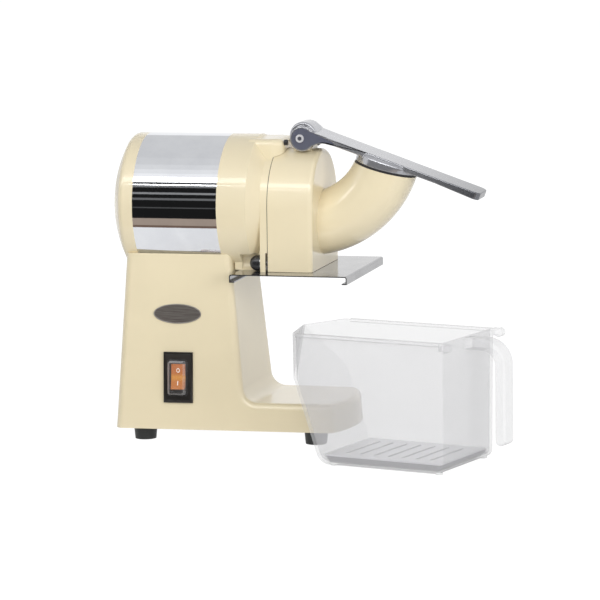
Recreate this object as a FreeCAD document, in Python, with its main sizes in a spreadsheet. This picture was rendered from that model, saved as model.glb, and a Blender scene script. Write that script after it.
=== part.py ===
"""Electric ice crusher with a pusher lever and a clear ice bin, as a parametric FreeCAD document.

Frame: +X runs along the motor axis to the hopper, +Y points away from the user, +Z is up.
The origin lies on the table, in the middle between the four rubber feet. Lengths are in mm.
"""
import FreeCAD, Part
import math
import os
from types import SimpleNamespace

import Sketcher
from FreeCAD import Placement, Rotation, Vector

os.makedirs("parts", exist_ok=True)
doc = FreeCAD.newDocument("IceCrusher")
sheet = doc.addObject("Spreadsheet::Sheet", "dims")

# ---------------------------------------------------------------- driving dimensions
DRIVING = {
    # stand casting: a tapered column that grows out of a low foot
    "foot_height": 15.0,          # underside of the stand above the table
    "feet_span_x": 210.6,
    "feet_span_y": 114.0,
    "foot_top_radius": 14.0,
    "foot_tip_radius": 12.6,
    "stand_rear": 136.6,          # origin back to the rear edge of the underside
    "stand_front": 143.5,         # origin forward to the nose of the foot
    "stand_rear_half": 80.0,      # half width of the underside at its rear edge
    "stand_front_half": 71.59,    # half width of the underside at its nose
    "stand_draft": 3.6,           # degrees that the outer walls lean inwards
    "saddle_drop": 55.0,          # the column's top lies this far below the motor axis
    "column_front": 4.0,          # front face of the column, at the column's top
    "column_rake": 5.3,           # degrees that the front face leans forwards
    "foot_top": 48.0,             # upper face of the low foot above the table
    "nose_radius": 175.0,         # the nose of the foot is bowed in plan
    "nose_corner_radius": 12.0,
    "column_root_radius": 18.0,
    "stand_edge_radius": 8.0,
    "stand_plan_radius": 9.0,
    "stand_wall": 6.5,
    "saddle_floor": 12.5,         # metal between the saddle and the column's cavity
    "foot_roof": 7.0,
    "boss_half": 8.0,
    "base_plate_thickness": 2.0,
    # motor
    "axis_height": 279.0,
    "band_radius": 82.5,
    "band_wall": 1.0,
    "band_rear": 109.5,           # origin back to the rear end of the band
    "band_length": 103.0,
    "cap_edge_depth": 16.2,
    "cap_dome_rise": 23.8,
    "cap_wall": 4.0,
    "cap_edge_radius": 8.0,
    "frame_radius": 66.0,
    "frame_wall": 4.0,
    "frame_length": 82.0,
    "stator_length": 52.0,
    "stator_bore": 34.0,
    "air_gap": 0.6,
    "coil_overhang": 10.0,
    "shield_thickness": 7.0,
    "shaft_radius": 8.0,
    "shaft_clearance": 0.05,
    "bearing_radius": 17.5,
    "bearing_width": 11.0,
    "fan_radius": 58.0,
    "fan_blades": 9.0,
    "fan_width": 9.0,
    # crusher housing, disc and hopper cover
    "flange_length": 35.5,        # full-diameter part of the housing, from the band forwards
    "neck_radius": 66.0,          # round top of the D-shaped neck and cover
    "cone_length": 13.0,
    "neck_length": 8.6,
    "cover_length": 53.5,
    "cover_wall": 6.0,
    "cover_edge_radius": 5.0,
    "gasket_thickness": 0.8,
    "chamber_radius": 59.5,
    "web_thickness": 10.0,
    "lug_half": 34.0,
    "lug_front_half": 25.0,
    "lug_reach": 11.5,            # the top lug hooks this far over the cover
    "lug_rise": 79.0,             # top of the lug above the motor axis
    "lug_edge_radius": 8.0,
    "disc_radius": 56.0,
    "disc_thickness": 7.0,
    "disc_gap": 6.0,              # disc front face to the hopper bore's end
    "blade_count": 4.0,
    "blade_teeth": 5.0,
    "tooth_pitch": 7.5,
    "tooth_height": 4.0,
    "blade_thickness": 4.0,
    # lever and elbow hopper: the elbow is a ring segment round the lever's pivot
    "pivot_x": 82.5,
    "pivot_rise": 80.0,           # lever pin above the motor axis
    "elbow_path": 104.0,
    "elbow_radius": 38.0,
    "elbow_wall": 4.5,
    "lever_tilt": 19.4,           # degrees that the closed lever points down
    "lever_half": 28.0,
    "lever_tip_half": 25.0,
    "lever_length": 224.0,
    "hub_radius": 14.8,
    "hub_reach": 2.4,             # the hub's cheeks lie this far down the arm from the pin
    "hub_lift": 0.3,
    "hub_edge_radius": 1.6,
    "crown_radius": 16.3,         # the middle of the hub, which bulges over the ear
    "crown_lift": 2.5,
    "crown_edge_radius": 3.0,
    "arm_top": 12.0,
    "arm_bottom": 5.3,
    "arm_skin": 3.0,
    "arm_edge_radius": 1.5,
    "throat_radius": 28.8,        # hollow curve from the hub to the arm's underside
    "tip_length": 55.0,           # the arm thickens over this length to its tip
    "tip_drop": 2.4,
    "tip_corner_radius": 9.0,
    "ear_half": 15.0,
    "ear_radius": 10.6,
    "pin_radius": 4.0,
    "inlay_radius": 12.6,
    "inlay_reach": 40.0,
    "inlay_depth": 1.5,
    "lid_radius": 37.6,
    "lid_gasket": 2.2,
    "lid_edge_radius": 4.5,
    "mouth_slant": 4.6,           # degrees that the hopper's mouth is flatter than the lever
    "mouth_drop": 3.0,            # middle of the mouth below the lever's own plane
    "pusher_radius": 31.5,
    "pusher_sweep": 70.0,         # degrees from the lid down to the pusher's head
    "pusher_head": 7.0,
    "pusher_rib": 4.0,
    # deflector plate with its two bin runners
    "plate_rear": 11.4,
    "plate_length": 142.0,
    "plate_half": 94.0,
    "plate_drop": 74.6,           # upper face of the plate below the motor axis
    "plate_thickness": 1.2,
    "plate_bend": 2.4,
    "runner_drop": 9.6,
    "runner_return": 6.0,
    "outlet_half": 44.0,
    "outlet_rear": 24.0,
    # clamp knobs
    "knob_radius": 9.2,
    "knob_length": 14.0,
    "knob_offset": 57.0,
    "knob_relief": 11.5,          # hollow in the housing round each knob
    "ear_gap": 2.4,               # open slot between an ear and the cover
    "stud_radius": 3.0,
    # switch and badge on the user's side of the column
    "switch_x": 58.3,             # origin back to the middle of the switch
    "switch_height": 77.2,
    "switch_width": 35.6,
    "switch_tall": 60.5,
    "bezel_thickness": 3.0,
    "rocker_width": 15.0,
    "rocker_tall": 30.0,
    "rocker_rise": 3.4,
    "rocker_tilt": 8.0,
    "trunnion_radius": 1.5,
    "trunnion_depth": 3.0,
    "hood_width": 22.0,
    "hood_tall": 40.0,
    "hood_rise": 10.0,
    "hood_wall": 1.2,
    "switch_depth": 26.0,
    "badge_x": 59.6,
    "badge_height": 152.8,
    "badge_length": 58.0,
    "badge_tall": 23.4,
    "badge_thickness": 1.2,
    # clear bin, standing beside the machine
    "bin_x": 110.8,               # near left corner of the tub
    "bin_y": 183.1,
    "bin_turn": 14.9,             # degrees that the bin is turned towards the user
    "bin_length": 193.5,
    "bin_width": 126.0,
    "bin_height": 150.8,
    "bin_wall": 2.6,
    "bin_draft": 0.5,
    "bin_stand_off": 1.2,         # small bumps keep the floor off the table
    "bin_foot_radius": 10.0,
    "spout_reach": 21.0,          # the left end bows out to a pouring lip
    "scoop_start": 2.5,
    "scoop_height": 92.0,
    "scoop_foot": 32.5,
    "scoop_radius": 18.0,
    "rail_reach": 6.0,
    "horn_reach": 8.5,
    "rail_thickness": 3.6,
    "handle_half": 10.0,
    "handle_reach": 51.0,
    "handle_thickness": 13.0,
    "handle_foot": 29.0,
    "tray_thickness": 2.6,
    "tray_rise": 8.0,
    # mains inlet and the electrics on the base plate
    "gland_radius": 7.0,
    "gland_rise": 22.0,           # cord inlet above the underside of the stand
    "gland_rim": 3.0,
    "gland_seat": 3.5,            # the flat spot on the rear wall is this much wider
    "cord_bore": 3.6,
    "capacitor_radius": 17.0,
    "capacitor_length": 62.0,
    "capacitor_inset": 40.0,
    "capacitor_across": 22.0,
    "terminal_inset": 78.0,
    "terminal_across": 6.0,
    "terminal_length": 22.0,
    "terminal_width": 40.0,
    "terminal_height": 16.0,
    "terminal_pitch": 10.0,
    "terminal_hole": 2.2,
    # small things
    "seat": 0.3,                  # clearance between pieces that move past each other
    "screw_radius": 2.5,
}


class Size:
    """A dimension: its value, and the text that says it in a spreadsheet expression."""

    def __init__(self, value, text=None):
        self.value = float(value)
        self.text = repr(self.value) if text is None else text

    @staticmethod
    def of(thing):
        return thing if isinstance(thing, Size) else Size(thing)

    def _join(self, other, sign, value):
        return Size(value, "(%s %s %s)" % (self.text, sign, other.text))

    def __add__(self, other):
        other = Size.of(other)
        return self._join(other, "+", self.value + other.value)

    def __sub__(self, other):
        other = Size.of(other)
        return self._join(other, "-", self.value - other.value)

    def __mul__(self, other):
        other = Size.of(other)
        return self._join(other, "*", self.value * other.value)

    def __truediv__(self, other):
        other = Size.of(other)
        return self._join(other, "/", self.value / other.value)

    def __radd__(self, other):
        return Size.of(other) + self

    def __rsub__(self, other):
        return Size.of(other) - self

    def __rmul__(self, other):
        return Size.of(other) * self

    def __rtruediv__(self, other):
        return Size.of(other) / self

    def __neg__(self):
        return Size(-self.value, "(0 - %s)" % self.text)


def sine(angle):
    return Size(math.sin(math.radians(angle.value)), "sin(%s)" % angle.text)


def cosine(angle):
    return Size(math.cos(math.radians(angle.value)), "cos(%s)" % angle.text)


def tangent(angle):
    return Size(math.tan(math.radians(angle.value)), "tan(%s)" % angle.text)


def root(square):
    return Size(math.sqrt(square.value), "sqrt(%s)" % square.text)


def fill_sheet():
    """Writes every driving dimension to the sheet and gives back a Size for each."""
    sizes = {}
    for row, (alias, value) in enumerate(DRIVING.items(), start=1):
        sheet.set("A%d" % row, alias.replace("_", " "))
        sheet.set("B%d" % row, str(value))
        sheet.setAlias("B%d" % row, alias)
        sizes[alias] = Size(value, "dims." + alias)
    doc.recompute()
    return SimpleNamespace(**sizes)


d = fill_sheet()
ZERO = Size(0.0)
NODES = {}


# ---------------------------------------------------------------- helpers
def bind(obj, prop, size):
    """Sets a property from a Size and keeps it bound to the sheet."""
    size = Size.of(size)
    if "dims." in size.text:
        obj.setExpression(prop, size.text)
    return size.value


def place(obj, x=0.0, y=0.0, z=0.0, turn=None):
    """Puts an object at a place whose coordinates stay bound to the sheet."""
    x, y, z = Size.of(x), Size.of(y), Size.of(z)
    obj.Placement = Placement(Vector(x.value, y.value, z.value), turn or Rotation())
    for letter, size in zip("xyz", (x, y, z)):
        bind(obj, "Placement.Base." + letter, size)
    return obj


TO_X = Rotation(Vector(0, 0, 1), Vector(1, 0, 0))
TO_Y = Rotation(Vector(1, 0, 0), -90)
TO_MINUS_Y = Rotation(Vector(1, 0, 0), 90)


def cylinder(name, radius, length, x=0.0, y=0.0, z=0.0, turn=None):
    obj = doc.addObject("Part::Cylinder", name)
    obj.Radius = bind(obj, "Radius", radius)
    obj.Height = bind(obj, "Height", length)
    return place(obj, x, y, z, turn)


def box(name, x, y, z, length, width, height, turn=None):
    obj = doc.addObject("Part::Box", name)
    obj.Length = bind(obj, "Length", length)
    obj.Width = bind(obj, "Width", width)
    obj.Height = bind(obj, "Height", height)
    return place(obj, x, y, z, turn)


def fuse(name, *shapes):
    obj = doc.addObject("Part::MultiFuse", name)
    obj.Shapes = list(shapes)
    return obj


def cut(name, base, *tools):
    obj = doc.addObject("Part::Cut", name)
    obj.Base = base
    obj.Tool = tools[0] if len(tools) == 1 else fuse(name + "_tools", *tools)
    return obj


def common(name, *shapes):
    obj = doc.addObject("Part::MultiCommon", name)
    obj.Shapes = list(shapes)
    return obj


def group(name, *pieces):
    """Like pieces that share one node, as separate solids."""
    obj = doc.addObject("Part::Compound", name)
    obj.Links = list(pieces)
    return obj


def new_body(name):
    return doc.addObject("PartDesign::Body", name)


def origin_plane(body, role):
    return next(item for item in body.Origin.OriginFeatures if item.Role == role)


def sketch_on(body, name, role, offset=0.0):
    sketch = body.newObject("Sketcher::SketchObject", name)
    sketch.AttachmentSupport = (origin_plane(body, role), [""])
    sketch.MapMode = "FlatFace"
    offset = Size.of(offset)
    sketch.AttachmentOffset = Placement(Vector(0, 0, offset.value), Rotation())
    bind(sketch, "AttachmentOffset.Base.z", offset)
    return sketch


def fix(sketch, constraint, size):
    """Adds a dimension to a sketch and binds it to the sheet."""
    index = sketch.addConstraint(constraint)
    bind(sketch, "Constraints[%d]" % index, size)


def outline(body, name, role, points, offset=0.0):
    """A closed sketch. A point is (across, up), or (across, up, radius) where the side that
    leads to it is an arc: a positive radius bulges to the right of the way round."""
    sketch = sketch_on(body, name, role, offset)
    corners = [(Size.of(p[0]), Size.of(p[1])) for p in points]
    sides = []
    for i, point in enumerate(points):
        start = corners[i - 1]
        end = corners[i]
        a = Vector(start[0].value, start[1].value, 0)
        b = Vector(end[0].value, end[1].value, 0)
        if len(point) == 2:
            index = sketch.addGeometry(Part.LineSegment(a, b), False)
            sides.append((index, 1, 2))
            continue
        radius = Size.of(point[2])
        chord = b - a
        reach = math.sqrt(max(radius.value ** 2 - (chord.Length / 2) ** 2, 0.0))
        left = Vector(-chord.y, chord.x, 0).normalize()
        bulges_right = radius.value > 0
        centre = (a + b) * 0.5 + left * (reach if bulges_right else -reach)
        first, last = (a, b) if bulges_right else (b, a)
        begin = math.atan2(first.y - centre.y, first.x - centre.x)
        finish = math.atan2(last.y - centre.y, last.x - centre.x)
        circle = Part.Circle(centre, Vector(0, 0, 1), abs(radius.value))
        index = sketch.addGeometry(Part.ArcOfCircle(circle, begin, finish), False)
        sides.append((index, 1, 2) if bulges_right else (index, 2, 1))
        size = radius if bulges_right else -radius
        fix(sketch, Sketcher.Constraint("Radius", index, abs(radius.value)), size)
    for i, (index, first, last) in enumerate(sides):
        after, begin, _ = sides[(i + 1) % len(sides)]
        sketch.addConstraint(Sketcher.Constraint("Coincident", index, last, after, begin))
        x, y = corners[i]
        fix(sketch, Sketcher.Constraint("DistanceX", index, last, x.value), x)
        fix(sketch, Sketcher.Constraint("DistanceY", index, last, y.value), y)
    return sketch


def circles(body, name, role, rings, offset=0.0):
    """A sketch of circles, each given as (across, up, radius)."""
    sketch = sketch_on(body, name, role, offset)
    for x, y, radius in rings:
        x, y, radius = Size.of(x), Size.of(y), Size.of(radius)
        circle = Part.Circle(Vector(x.value, y.value, 0), Vector(0, 0, 1), radius.value)
        index = sketch.addGeometry(circle, False)
        fix(sketch, Sketcher.Constraint("Radius", index, radius.value), radius)
        fix(sketch, Sketcher.Constraint("DistanceX", index, 3, x.value), x)
        fix(sketch, Sketcher.Constraint("DistanceY", index, 3, y.value), y)
    return sketch


def pad(body, sketch, length, midplane=False, reverse=False, taper=None):
    feature = body.newObject("PartDesign::Pad", sketch.Name + "_pad")
    feature.Profile = sketch
    feature.Midplane = midplane
    feature.Reversed = reverse
    feature.Length = bind(feature, "Length", length)
    if taper is not None:
        feature.TaperAngle = bind(feature, "TaperAngle", taper)
    sketch.Visibility = False
    return feature


def pocket(body, sketch, length=None, midplane=False, reverse=False, taper=None):
    """Cuts a sketch out of a body: all the way through, or to a length."""
    doc.recompute()
    before = body.Tip.Shape.Volume
    feature = body.newObject("PartDesign::Pocket", sketch.Name + "_pocket")
    feature.Profile = sketch
    feature.Midplane = midplane
    feature.Reversed = reverse
    if length is None:
        feature.Type = "ThroughAll"
    else:
        feature.Length = bind(feature, "Length", length)
    if taper is not None:
        feature.TaperAngle = bind(feature, "TaperAngle", taper)
    doc.recompute()
    if feature.Shape.Volume > before - 1e-3:
        raise RuntimeError("%s cut nothing" % feature.Name)
    return feature


def revolve(body, sketch, role="X_Axis"):
    feature = body.newObject("PartDesign::Revolution", sketch.Name + "_revolution")
    feature.Profile = sketch
    feature.ReferenceAxis = (origin_plane(body, role), [""])
    feature.Angle = 360.0
    return feature


def round_edges(body, name, radius, wanted):
    """Fillets the edges of a body's tip that the test picks out."""
    doc.recompute()
    base = body.Tip
    names = []
    for i, edge in enumerate(base.Shape.Edges, start=1):
        if wanted(edge):
            names.append("Edge%d" % i)
    if not names:
        raise RuntimeError("%s found no edge" % name)
    feature = body.newObject("PartDesign::Fillet", name)
    feature.Base = (base, names)
    feature.Radius = bind(feature, "Radius", radius)
    doc.recompute()
    return feature


def middle(edge):
    return edge.valueAt((edge.FirstParameter + edge.LastParameter) / 2)


def keep(node, obj):
    """Makes an object one of the part's sub-parts."""
    obj.Label = node
    NODES[node] = obj
    return obj


def screw(name, shank, length, head, head_height, x, y, z, turn=None):
    """A screw whose head lies at its place and whose shank points along its own +Z."""
    turn = turn or Rotation()
    back = turn.multVec(Vector(0, 0, -1))
    top = [Size.of(c) + Size.of(head_height) * s for c, s in zip((x, y, z), back)]
    return fuse(
        name,
        cylinder(name + "_head", head, head_height, top[0], top[1], top[2], turn),
        cylinder(name + "_shank", shank, length, x, y, z, turn),
    )


# ---------------------------------------------------------------- places worked out once
column_top = d.axis_height - d.saddle_drop
cavity_top = d.axis_height - d.band_radius - d.saddle_floor
lug_top = d.axis_height + d.lug_rise
pivot_z = d.axis_height + d.pivot_rise
plate_top = d.axis_height - d.plate_drop
plate_underside = plate_top - d.plate_thickness
knob_height = plate_top + d.seat + d.knob_radius
gland_height = d.foot_height + d.gland_rise
gland_across = -d.feet_span_y / 4
gland_reach = d.gland_rise + d.gland_radius + d.gland_seat
gland_flat = gland_reach * tangent(d.stand_draft) + d.seat - d.stand_rear
band_front = d.band_length - d.band_rear
cone_start = band_front + d.flange_length
neck_start = cone_start + d.cone_length
parting_x = neck_start + d.neck_length
cover_start = parting_x + d.gasket_thickness
cover_front = cover_start + d.cover_length
cover_bottom = plate_top + d.seat
disc_front = parting_x + d.gasket_thickness
disc_rear = disc_front - d.disc_thickness
bore_end = disc_front + d.tooth_height + d.disc_gap
bore_radius = d.elbow_radius - d.elbow_wall
elbow_low = pivot_z - d.elbow_path
mouth_tilt = d.lever_tilt - d.mouth_slant
mouth_x = d.pivot_x + d.elbow_path * cosine(d.lever_tilt) - d.mouth_drop * sine(d.lever_tilt)
mouth_z = pivot_z - d.elbow_path * sine(d.lever_tilt) - d.mouth_drop * cosine(d.lever_tilt)
stand_length = d.stand_rear + d.stand_front
stand_height = column_top - d.foot_height
web_front = band_front + d.web_thickness
foot_x = d.feet_span_x / 2
foot_y = d.feet_span_y / 2


def side_half(x, z, inset=0.0):
    """Half width of the stand at a place along it and a height above the table."""
    plan = (d.stand_rear_half - d.stand_front_half) / stand_length
    slope = tangent(d.stand_draft)
    return d.stand_rear_half - (x + d.stand_rear) * plan - (z - d.foot_height) * slope - inset


def trapezoid(x_rear, x_front, inset):
    """The stand's plan between two places along it, on its underside."""
    rear = side_half(Size.of(x_rear), d.foot_height, inset)
    front = side_half(Size.of(x_front), d.foot_height, inset)
    return [(x_rear, -rear), (x_front, -front), (x_front, front), (x_rear, rear)]


# ---------------------------------------------------------------- stand
def make_stand():
    """The column and the foot in one casting, open underneath."""
    body = new_body("stand_body")
    nose_half = side_half(d.stand_front, d.foot_height)
    bow = d.nose_radius - root(d.nose_radius * d.nose_radius - nose_half * nose_half)
    rear_near, front_near, front_far, rear_far = trapezoid(-d.stand_rear, d.stand_front - bow, 0.0)
    plan = outline(body, "stand_plan", "XY_Plane", [
        rear_near, front_near, front_far + (d.nose_radius,), rear_far], d.foot_height)
    pad(body, plan, stand_height, taper=-d.stand_draft)
    doc.recompute()
    round_edges(body, "stand_corners", d.stand_plan_radius,
                lambda e: abs(e.tangentAt(e.FirstParameter).z) > 0.9 and middle(e).x < 0)
    round_edges(body, "nose_corners", d.nose_corner_radius,
                lambda e: abs(e.tangentAt(e.FirstParameter).z) > 0.9 and middle(e).x > 90)
    over = column_top + 20
    rake = tangent(d.column_rake)
    front_at_foot = d.column_front + (column_top - d.foot_top) * rake
    far = d.stand_front + 60
    window = outline(body, "stand_window", "XZ_Plane", [
        (d.column_front - rake * 20, over),
        (front_at_foot, d.foot_top),
        (far, d.foot_top),
        (far, over),
    ])
    pocket(body, window, d.stand_rear_half * 3, midplane=True)
    round_edges(body, "column_root", d.column_root_radius,
                lambda e: abs(middle(e).x - front_at_foot.value) < 1
                and abs(middle(e).z - d.foot_top.value) < 1 and abs(middle(e).y) < 1)
    nose_top = d.stand_front - (d.foot_top - d.foot_height) * tangent(d.stand_draft)

    def along_window(edge):
        spot = middle(edge)
        if spot.z < d.foot_height.value + 4:
            return False
        front = d.column_front.value + (column_top.value - spot.z) * rake.value
        on_column = abs(spot.x - front) < 1.5 and spot.z < column_top.value - 1
        on_foot = abs(spot.z - d.foot_top.value) < 0.5 and spot.x > front
        on_nose = on_foot and spot.x > nose_top.value - 1
        return on_nose or (abs(spot.y) > 20 and (on_column or on_foot))

    round_edges(body, "window_edges", d.stand_edge_radius, along_window)
    saddle = circles(body, "saddle", "YZ_Plane",
                     [(0, d.axis_height, d.band_radius + d.seat / 3)])
    pocket(body, saddle, d.stand_rear * 4, midplane=True)
    cavity = outline(body, "column_cavity", "XY_Plane",
                     trapezoid(-d.stand_rear + d.stand_wall + 1, d.column_front - d.stand_wall,
                               d.stand_wall + 1), d.foot_height)
    pocket(body, cavity, cavity_top - d.foot_height, reverse=True, taper=-d.stand_draft)
    low = outline(body, "foot_cavity", "XY_Plane",
                  trapezoid(-d.stand_rear + d.stand_wall + 1, d.stand_front - d.stand_wall * 4,
                            d.stand_wall + 1), d.foot_height)
    pocket(body, low, d.foot_top - d.foot_roof - d.foot_height, reverse=True)
    boss_start = d.foot_height + d.base_plate_thickness
    for side, word in ((-1, "near"), (1, "far")):
        for end, place_word in ((-1, "rear"), (1, "front")):
            x = foot_x * end
            inner = (foot_y - d.boss_half) * side
            outer = side_half(x, d.foot_height, d.stand_wall / 2) * side
            low_y, high_y = (inner, outer) if side > 0 else (outer, inner)
            block = outline(body, "boss_%s_%s" % (place_word, word), "XY_Plane", [
                (x - d.boss_half, low_y), (x + d.boss_half, low_y),
                (x + d.boss_half, high_y), (x - d.boss_half, high_y)], boss_start)
            pad(body, block, d.foot_top - d.foot_roof - boss_start + 1)
    holes = circles(body, "foot_screw_holes", "XY_Plane",
                    [(foot_x * i, foot_y * j, d.screw_radius) for i in (-1, 1) for j in (-1, 1)],
                    d.foot_height)
    pocket(body, holes, d.foot_roof * 3, reverse=True)
    opening = outline(body, "switch_opening", "XZ_Plane", [
        (-d.switch_x - d.rocker_width / 2 - 2, d.switch_height - d.rocker_tall / 2 - 2),
        (-d.switch_x + d.rocker_width / 2 + 2, d.switch_height - d.rocker_tall / 2 - 2),
        (-d.switch_x + d.rocker_width / 2 + 2, d.switch_height + d.rocker_tall / 2 + 2),
        (-d.switch_x - d.rocker_width / 2 - 2, d.switch_height + d.rocker_tall / 2 + 2)])
    pocket(body, opening, d.stand_rear_half * 2, reverse=True)
    cord_hole = circles(body, "cord_hole", "YZ_Plane",
                        [(gland_across, gland_height, d.gland_radius)])
    pocket(body, cord_hole, d.stand_rear * 2)
    cord_seat = circles(body, "cord_seat", "YZ_Plane",
                        [(gland_across, gland_height, d.gland_radius + d.gland_seat)], gland_flat)
    pocket(body, cord_seat)
    wire_hole = circles(body, "wire_hole", "XY_Plane",
                        [(-d.switch_x, 0, d.gland_radius)], d.foot_height)
    pocket(body, wire_hole, d.axis_height - d.band_radius, reverse=True)
    keep("stand_casting", body)


def make_base_plate():
    """A sheet plate that closes the stand underneath, with two rows of air slots."""
    body = new_body("base_plate_body")
    clearance = d.stand_wall + 1 + d.seat
    plan = outline(body, "base_plate_plan", "XY_Plane",
                   trapezoid(-d.stand_rear + clearance, d.stand_front - d.stand_wall * 4 - d.seat,
                             clearance), d.foot_height)
    pad(body, plan, d.base_plate_thickness)
    slots = []
    pitch = Size(9.0)
    for i in range(6):
        x = -d.switch_x + pitch * (i - 2.5)
        slots.append(outline(body, "air_slot_%d" % i, "XY_Plane", [
            (x - 2, -22), (x + 2, -22), (x + 2, 22), (x - 2, 22)], d.foot_height))
    for slot in slots:
        pocket(body, slot, d.base_plate_thickness, reverse=True)
    holes = circles(body, "base_plate_holes", "XY_Plane",
                    [(foot_x * i, foot_y * j, d.screw_radius + d.seat)
                     for i in (-1, 1) for j in (-1, 1)], d.foot_height)
    pocket(body, holes, d.base_plate_thickness, reverse=True)
    keep("base_plate", body)


def make_feet():
    """Four tapered rubber feet, each held by a screw whose head sits deep in the rubber."""
    head_height = Size(4.0)
    head_seat = Size(6.0)
    screws = []
    for end, end_word in ((-1, "rear"), (1, "front")):
        for side, side_word in ((-1, "near"), (1, "far")):
            name = "rubber_foot_%s_%s" % (end_word, side_word)
            body = new_body(name + "_body")
            profile = outline(body, name + "_profile", "XZ_Plane", [
                (d.screw_radius + d.seat, head_seat + head_height),
                (d.screw_radius * 2 + d.seat, head_seat + head_height),
                (d.screw_radius * 2 + d.seat, 0),
                (d.foot_tip_radius, 0),
                (d.foot_top_radius, d.foot_height),
                (d.screw_radius + d.seat, d.foot_height)])
            revolve(body, profile, "Z_Axis")
            place(body, foot_x * end, foot_y * side, 0)
            keep(name, body)
            screws.append(screw("foot_screw_%s_%s" % (end_word, side_word),
                                d.screw_radius - d.shaft_clearance, d.foot_height + 8,
                                d.screw_radius * 2, head_height,
                                foot_x * end, foot_y * side, head_seat + head_height))
    keep("foot_screws", group("foot_screws", *screws))


# ---------------------------------------------------------------- motor
def ring(name, profile_points):
    """A turned piece about the motor axis; the points are (along X, radius)."""
    body = new_body(name + "_body")
    profile = outline(body, name + "_profile", "XZ_Plane", profile_points)
    revolve(body, profile)
    place(body, 0, 0, d.axis_height)
    return body


def make_band():
    inner = d.band_radius - d.band_wall
    keep("motor_band", ring("motor_band", [
        (-d.band_rear, inner), (band_front, inner),
        (band_front, d.band_radius), (-d.band_rear, d.band_radius)]))


def make_rear_cap():
    """The domed rear cap, with a spigot that centres it in the band."""
    radius = d.band_radius
    rise = d.cap_dome_rise
    sphere = (radius * radius + rise * rise) / (rise * 2)
    edge = -d.band_rear - d.cap_edge_depth
    body = new_body("rear_cap_body")
    solid = outline(body, "rear_cap_profile", "XZ_Plane", [
        (-d.band_rear, 0), (-d.band_rear, radius), (edge, radius), (edge - rise, 0, sphere)])
    revolve(body, solid)
    round_edges(body, "rear_cap_edge", d.cap_edge_radius,
                lambda e: abs(e.BoundBox.XMin - edge.value) < 0.01
                and abs(e.BoundBox.XMax - edge.value) < 0.01)
    wall = d.cap_wall
    inside = radius - wall
    inside_rise = rise * inside / radius
    inside_sphere = (inside * inside + inside_rise * inside_rise) / (inside_rise * 2)
    hollow = outline(body, "rear_cap_hollow", "XZ_Plane", [
        (-d.band_rear, 0), (-d.band_rear, inside), (edge + wall, inside),
        (edge + wall - inside_rise, 0, inside_sphere)])
    groove = body.newObject("PartDesign::Groove", "rear_cap_groove")
    groove.Profile = hollow
    groove.ReferenceAxis = (origin_plane(body, "X_Axis"), [""])
    groove.Angle = 360.0
    spigot_outer = radius - d.band_wall - d.seat / 3
    spigot = outline(body, "rear_cap_spigot", "XZ_Plane", [
        (-d.band_rear - wall / 2, spigot_outer - wall), (-d.band_rear + wall * 1.5, spigot_outer - wall),
        (-d.band_rear + wall * 1.5, spigot_outer), (-d.band_rear - wall / 2, spigot_outer)])
    revolve(body, spigot)
    place(body, 0, 0, d.axis_height)
    keep("rear_cap", body)


def make_motor():
    """Frame tube, wound stator, rotor on its shaft, two ball bearings, end shield and fan."""
    frame_rear = band_front - d.frame_length
    inner = d.frame_radius - d.frame_wall
    lip = d.frame_wall * 2
    frame = ring("motor_frame", [
        (frame_rear, inner), (band_front, inner), (band_front, d.frame_radius + lip),
        (band_front - d.frame_wall, d.frame_radius + lip),
        (band_front - d.frame_wall, d.frame_radius), (frame_rear, d.frame_radius)])
    holes = circles(frame, "motor_frame_holes", "YZ_Plane", [
        (across, up, d.screw_radius + 0.1) for across, up in frame_bolt_places()])
    pocket(frame, holes, d.band_radius * 4, midplane=True)
    keep("motor_frame", frame)
    stator_front = band_front - (d.frame_length - d.stator_length) / 2
    stator_rear = stator_front - d.stator_length
    keep("stator_core", ring("stator_core", [
        (stator_rear, d.stator_bore), (stator_front, d.stator_bore),
        (stator_front, inner), (stator_rear, inner)]))
    coil_outer = inner - d.frame_wall
    coil_inner = d.stator_bore + d.frame_wall
    coils = []
    for word, x, sign in (("front", stator_front, 1), ("rear", stator_rear, -1)):
        near, far = x, x + d.coil_overhang * sign
        start, stop = (near, far) if sign > 0 else (far, near)
        coils.append(ring("coil_" + word, [
            (start, coil_inner), (stop, coil_inner), (stop, coil_outer), (start, coil_outer)]))
    keep("stator_windings", group("stator_windings", *coils))
    keep("rotor_core", ring("rotor_core", [
        (stator_rear, d.shaft_radius), (stator_front, d.shaft_radius),
        (stator_front, d.stator_bore - d.air_gap), (stator_rear, d.stator_bore - d.air_gap)]))
    bore = d.shaft_radius + d.shaft_clearance
    shield_front = frame_rear
    shield_rear = frame_rear - d.shield_thickness
    bearing_rear = shield_rear - (d.bearing_width - d.shield_thickness)
    keep("rear_end_shield", ring("rear_end_shield", [
        (bearing_rear, d.bearing_radius), (shield_front, d.bearing_radius),
        (shield_front, d.frame_radius), (shield_rear, d.frame_radius),
        (shield_rear, d.bearing_radius + d.frame_wall),
        (bearing_rear, d.bearing_radius + d.frame_wall)]))
    keep("rear_bearing", ring("rear_bearing", [
        (bearing_rear, bore), (shield_front, bore), (shield_front, d.bearing_radius),
        (bearing_rear, d.bearing_radius)]))
    keep("front_bearing", ring("front_bearing", [
        (band_front, bore), (band_front + d.bearing_width, bore),
        (band_front + d.bearing_width, d.bearing_radius), (band_front, d.bearing_radius)]))
    shaft_rear = bearing_rear - d.fan_width - 3
    shoulder = disc_rear
    nose = disc_front + d.tooth_height + 1
    keep("motor_shaft", ring("motor_shaft", [
        (shaft_rear, 0), (nose, 0), (nose, d.shaft_radius * 0.75),
        (shoulder, d.shaft_radius * 0.75), (shoulder, d.shaft_radius),
        (shaft_rear, d.shaft_radius)]))
    make_fan(bearing_rear)
    make_frame_bolts()


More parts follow.
